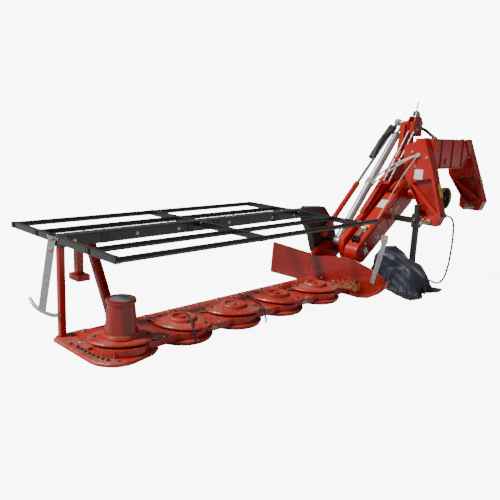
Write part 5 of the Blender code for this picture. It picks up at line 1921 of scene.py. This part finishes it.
# ---- ropes --------------------
class MOWER_OT_ropes(bpy.types.Operator):
    """The pull ropes from the near leg to the latch, and the hose that loops over the mast."""

    bl_idname = "mower.ropes"
    bl_label = "Ropes and hose loop"

    def execute(self, context):
        radius = sizes().rope / 2
        tie = Vector((2.8420, -0.176, 1.120))
        ropes = (
            (
                "pull_rope_upper", radius,
                (
                    tie, (2.820, -0.080, 1.080), (2.795, 0.060, 1.000), (2.775, 0.150, 0.925),
                    (2.766, 0.194, 0.866),
                ),
            ),
            (
                "pull_rope_lower", radius * 0.8,
                (tie, (2.815, -0.070, 1.060), (2.775, 0.080, 0.940), (2.748, 0.188, 0.836)),
            ),
            (
                "latch_cord", radius * 0.5,
                (
                    tie + Vector((0, 0.012, -0.01)), (2.760, -0.090, 0.930), (2.640, -0.030, 0.690),
                    (2.560, 0.010, 0.530),
                ),
            ),
        )
        for name, thickness, points in ropes:
            shape = begin()
            add_wire(shape, points, thickness, 10, 10)
            between = ("headstock", "carrier", at(*points[0]), at(*points[-1]))
            piece(name, shape, "rope", between, angle=60)
        shape = begin()
        add_rod(
            shape, tie - Vector((0, 0, 0.004)), tie + Vector((0.009, 0, -0.004)), 0.010, 0.012, 20, 0.001
        )
        for turn in range(3):
            add_ring(
                shape, tie + Vector((-0.002, 0.004 * turn, -0.004 * turn)), (1, 0.3, 0), 0.010,
                radius * 0.9, 20, 8,
            )
        piece("rope_knot", shape, "rope", "headstock")
        self.wraps(radius)
        shape = begin()
        points = (
            (3.262, 0.105, 1.335), (3.312, 0.092, 1.348), (3.340, 0.055, 1.330), (3.345, -0.005, 1.290),
            (3.338, -0.055, 1.262), (3.330, -0.085, 1.240),
        )
        add_wire(shape, points, 0.0145, 14, 7)
        between = ("headstock", "carrier", at(*points[-1]), at(*points[0]))
        piece("mast_hose", shape, "braided hose", between, angle=60)
        return {"FINISHED"}

    def wraps(self, radius):
        """The ropes' turns round the spring tube and their loop on the lift rod."""
        shape = begin()
        low, high = SPRING_FOOT, SPRING_HEAD
        run = (high - low).normalized()
        middle_wrap = low + run * ((2.760 - low.x) / run.x)
        for turn, tilt in ((-0.018, 0.10), (-0.004, -0.14), (0.010, 0.05), (0.024, -0.08)):
            axis = run + Vector((0, tilt, 0))
            add_ring(shape, middle_wrap + run * turn, axis, 0.0345 + radius * 0.45, radius * 0.62, 36, 8)
        for place, size in (
            (Vector((0.006, -0.040, 0.010)), 0.013), (Vector((-0.012, -0.042, -0.008)), 0.010)
        ):
            knot = middle_wrap + place
            start, end = knot - Vector((size, 0, 0)), knot + Vector((size, 0.004, 0.006))
            add_rod(shape, start, end, size * 0.8, size * 0.9, 14, 0.003)
        piece("rope_wraps", shape, "rope", "carrier", angle=60)


# ---- cloth --------------------
CLOTH_WIDTH, CLOTH_LENGTH = 0.66, 0.83
CLOTH_COLUMNS, CLOTH_ROWS = 61, 81
CLOTH_THICKNESS = 0.0014
HEAP = (
    (-0.060, 0.004), (-0.046, 0.150), (-0.056, 0.310), (-0.085, 0.362), (-0.130, 0.352), (-0.250, 0.255),
    (-0.400, 0.188), (-0.474, 0.112), (-0.476, 0.040), (-0.430, 0.004),
)
HEAP_ROUNDING = 0.022
FALL_STEPS = 150
PASSES = 14
FALL = 0.0010
DAMPING = 0.975
FRICTION = 0.93
CLOTH_ON_FLOOR = 0.004
LOWEST_CREASE = 0.0025
DROP_HEIGHT = 0.395
HEAP_SHARE = 0.88
TINY = 1e-9


class MOWER_OT_cloth(bpy.types.Operator):
    """The guard's dark cloth in a heap by the stand: a sheet that falls over the heap's shape."""

    bl_idname = "mower.cloth"
    bl_label = "Guard cloth"

    def execute(self, context):
        low, high = low_of("guard_cloth"), high_of("guard_cloth")
        self.middle = (low.x + high.x) / 2
        self.half = (high.x - low.x) / 2 - 0.030 - HEAP_ROUNDING
        self.rear = high.y - 0.006
        points = self.creased(self.settled())
        made = piece(
            "guard_cloth_sheet", self.sheet(points), "guard cloth", "headstock", ["guard_cloth"], 180
        )
        smooth = made.modifiers.new("Smooth", "SUBSURF")
        smooth.levels = 1
        smooth.render_levels = 1
        wall = made.modifiers.new("Cloth thickness", "SOLIDIFY")
        wall.thickness = CLOTH_THICKNESS
        wall.offset = 1
        return {"FINISHED"}

    def settled(self):
        """The sheet's points after it has fallen over the heap and the floor, by rows."""
        across = np.linspace(-CLOTH_WIDTH / 2, CLOTH_WIDTH / 2, CLOTH_COLUMNS)
        along = np.linspace(-CLOTH_LENGTH / 2, CLOTH_LENGTH / 2, CLOTH_ROWS)
        x, y = np.meshgrid(across, along)
        z = DROP_HEIGHT + 0.012 * np.sin(19 * x + 5 * y) + 0.010 * np.sin(23 * y - 9 * x)
        points = np.stack((x + self.middle, y - 0.196, z), axis=-1)
        before = points.copy()
        side, length = across[1] - across[0], along[1] - along[0]
        for _ in range(FALL_STEPS):
            pace = (points - before) * DAMPING
            before = points.copy()
            points = points + pace
            points[..., 2] -= FALL
            for _ in range(PASSES):
                hold(points, 0, 1, side, 1.0)
                hold(points, 1, 0, length, 1.0)
                hold(points, 1, 1, math.hypot(side, length), 0.35)
                hold(points, 1, -1, math.hypot(side, length), 0.35)
                hold(points, 0, 2, 2 * side, 0.06)
                hold(points, 2, 0, 2 * length, 0.06)
            touching = self.push_out(points)
            before[touching] += (points[touching] - before[touching]) * FRICTION
        points[..., 1] = np.minimum(points[..., 1], self.rear)
        return points

    def push_out(self, points):
        """Move points out of the heap and the floor, and say which ones touched."""
        x, y, z = points[..., 0] - self.middle, points[..., 1], points[..., 2]
        beside = np.abs(x) - self.half
        deep, out_y, out_z = outline_distance(y, z)
        ripple = 0.010 * np.sin(36 * y + 3 * np.sin(11 * x)) + 0.006 * np.sin(58 * x + 24 * z)
        over = np.hypot(np.maximum(beside, 0), np.maximum(deep, 0)) + np.minimum(
            np.maximum(beside, deep), 0
        )
        gap = over - HEAP_ROUNDING - ripple * np.clip(z * 8, 0, 1)
        inside = gap < 0
        share_x = np.where(beside > deep, 1.0, 0.0)
        both = (beside > 0) & (deep > 0)
        share_x = np.where(both, np.maximum(beside, 0) / np.maximum(over, TINY), share_x)
        rest = np.sqrt(np.maximum(0, 1 - share_x**2))
        push = np.where(inside, -gap, 0.0)
        points[..., 0] += push * share_x * np.sign(x)
        points[..., 1] += push * rest * out_y
        points[..., 2] += push * rest * out_z
        low = points[..., 2] < CLOTH_ON_FLOOR
        points[..., 2] = np.maximum(points[..., 2], CLOTH_ON_FLOOR)
        return inside | low

    def creased(self, points):
        """Small creases over the settled sheet."""
        slope_x = np.gradient(points, axis=1)
        slope_y = np.gradient(points, axis=0)
        out = np.cross(slope_x, slope_y)
        out /= np.maximum(np.linalg.norm(out, axis=-1, keepdims=True), TINY)
        x, y, z = points[..., 0], points[..., 1], points[..., 2]
        size = 0.0016 * np.sin(120 * x + 40 * y + 4 * np.sin(30 * z)) + 0.0012 * np.sin(
            90 * z - 55 * y + 20 * x
        )
        made = points + out * size[..., None]
        made[..., 2] = np.maximum(made[..., 2], LOWEST_CREASE)
        return made

    def sheet(self, points):
        """A mesh of the sheet, with its flat cut as its map."""
        shape = begin()
        flat = shape.loops.layers.uv.new("Flat")
        rows = [[shape.verts.new(at(*point)) for point in row] for row in points]
        side, length = CLOTH_WIDTH / (CLOTH_COLUMNS - 1), CLOTH_LENGTH / (CLOTH_ROWS - 1)
        for row in range(CLOTH_ROWS - 1):
            for column in range(CLOTH_COLUMNS - 1):
                corners = ((row, column), (row, column + 1), (row + 1, column + 1), (row + 1, column))
                face = shape.faces.new([rows[r][c] for r, c in corners])
                for loop, (r, c) in zip(face.loops, corners):
                    loop[flat].uv = (c * side, r * length)
        return shape


def hold(points, down, across, rest, share):
    """Draw pairs of points, so many rows and columns apart, towards their distance at rest."""
    rows, columns = points.shape[:2]
    step = 2 * max(down, abs(across))
    for start in range(step if down == 0 or across == 0 else 2):
        if down == 0:
            first, second = points[:, start:columns - across:step], points[:, start + across::step]
        elif across == 0:
            first, second = points[start:rows - down:step], points[start + down::step]
        elif across > 0:
            first, second = points[start:rows - 1:2, :-1], points[start + 1::2, 1:]
        else:
            first, second = points[start:rows - 1:2, 1:], points[start + 1::2, :-1]
        gap = second - first
        far = np.linalg.norm(gap, axis=-1, keepdims=True)
        move = gap * (0.5 * share * (1 - rest / np.maximum(far, TINY)))
        first += move
        second -= move


def outline_distance(y, z):
    """Signed distance to the heap's outline, negative inside, and the way out of it."""
    centre = np.mean(HEAP, axis=0)
    best = np.full(y.shape, 1e9)
    inside = np.zeros(y.shape, bool)
    away_y, away_z = np.zeros(y.shape), np.zeros(y.shape)
    corners = [centre + (np.array(spot) - centre) * HEAP_SHARE for spot in HEAP]
    for (y0, z0), (y1, z1) in zip(corners, corners[1:] + corners[:1]):
        reach_y, reach_z = y1 - y0, z1 - z0
        along = ((y - y0) * reach_y + (z - z0) * reach_z) / (reach_y**2 + reach_z**2)
        along = np.clip(along, 0, 1)
        off_y, off_z = y - y0 - along * reach_y, z - z0 - along * reach_z
        far = np.hypot(off_y, off_z)
        nearer = far < best
        best = np.where(nearer, far, best)
        away_y, away_z = np.where(nearer, off_y, away_y), np.where(nearer, off_z, away_z)
        crosses = (z0 > z) != (z1 > z)
        inside ^= crosses & (y < reach_y * (z - z0) / (reach_z if abs(reach_z) > 1e-12 else 1e-12) + y0)
    sign = np.where(inside, -1.0, 1.0)
    size = np.maximum(best, TINY)
    return sign * best, sign * away_y / size, sign * away_z / size


CLASSES = [
    MowerColours, MowerSizes, MowerStage, MOWER_OT_stage, MOWER_OT_finish_frame, MOWER_OT_soften_frame,
    MOWER_OT_hose, MOWER_OT_discs, MOWER_OT_cone, MOWER_OT_bar_details, MOWER_OT_guard,
    MOWER_OT_outer_supports, MOWER_OT_divider, MOWER_OT_carrier, MOWER_OT_lift, MOWER_OT_headstock,
    MOWER_OT_stand, MOWER_OT_ropes, MOWER_OT_cloth,
]
ORDER = [
    "stage", "hose", "finish_frame", "soften_frame", "discs", "cone", "bar_details", "guard",
    "outer_supports", "divider", "carrier", "lift", "headstock", "stand", "ropes", "cloth",
]


class MOWER_PT_panel(bpy.types.Panel):
    """Everything that builds the mower's finishes, in order."""

    bl_label = "Disc mower"
    bl_idname = "MOWER_PT_panel"
    bl_space_type = "VIEW_3D"
    bl_region_type = "UI"
    bl_category = "Mower"

    def draw(self, context):
        for name in ORDER:
            self.layout.operator(f"mower.{name}")


def register():
    for made in [*CLASSES, MOWER_PT_panel]:
        bpy.utils.register_class(made)
    bpy.types.Scene.mower_colours = PointerProperty(type=MowerColours)
    bpy.types.Scene.mower_sizes = PointerProperty(type=MowerSizes)
    bpy.types.Scene.mower_stage = PointerProperty(type=MowerStage)


def unregister():
    del bpy.types.Scene.mower_colours
    del bpy.types.Scene.mower_sizes
    del bpy.types.Scene.mower_stage
    for made in reversed([*CLASSES, MOWER_PT_panel]):
        bpy.utils.unregister_class(made)


def main():
    register()
    for name in ORDER:
        getattr(bpy.ops.mower, name)()


if __name__ == "__main__":
    main()
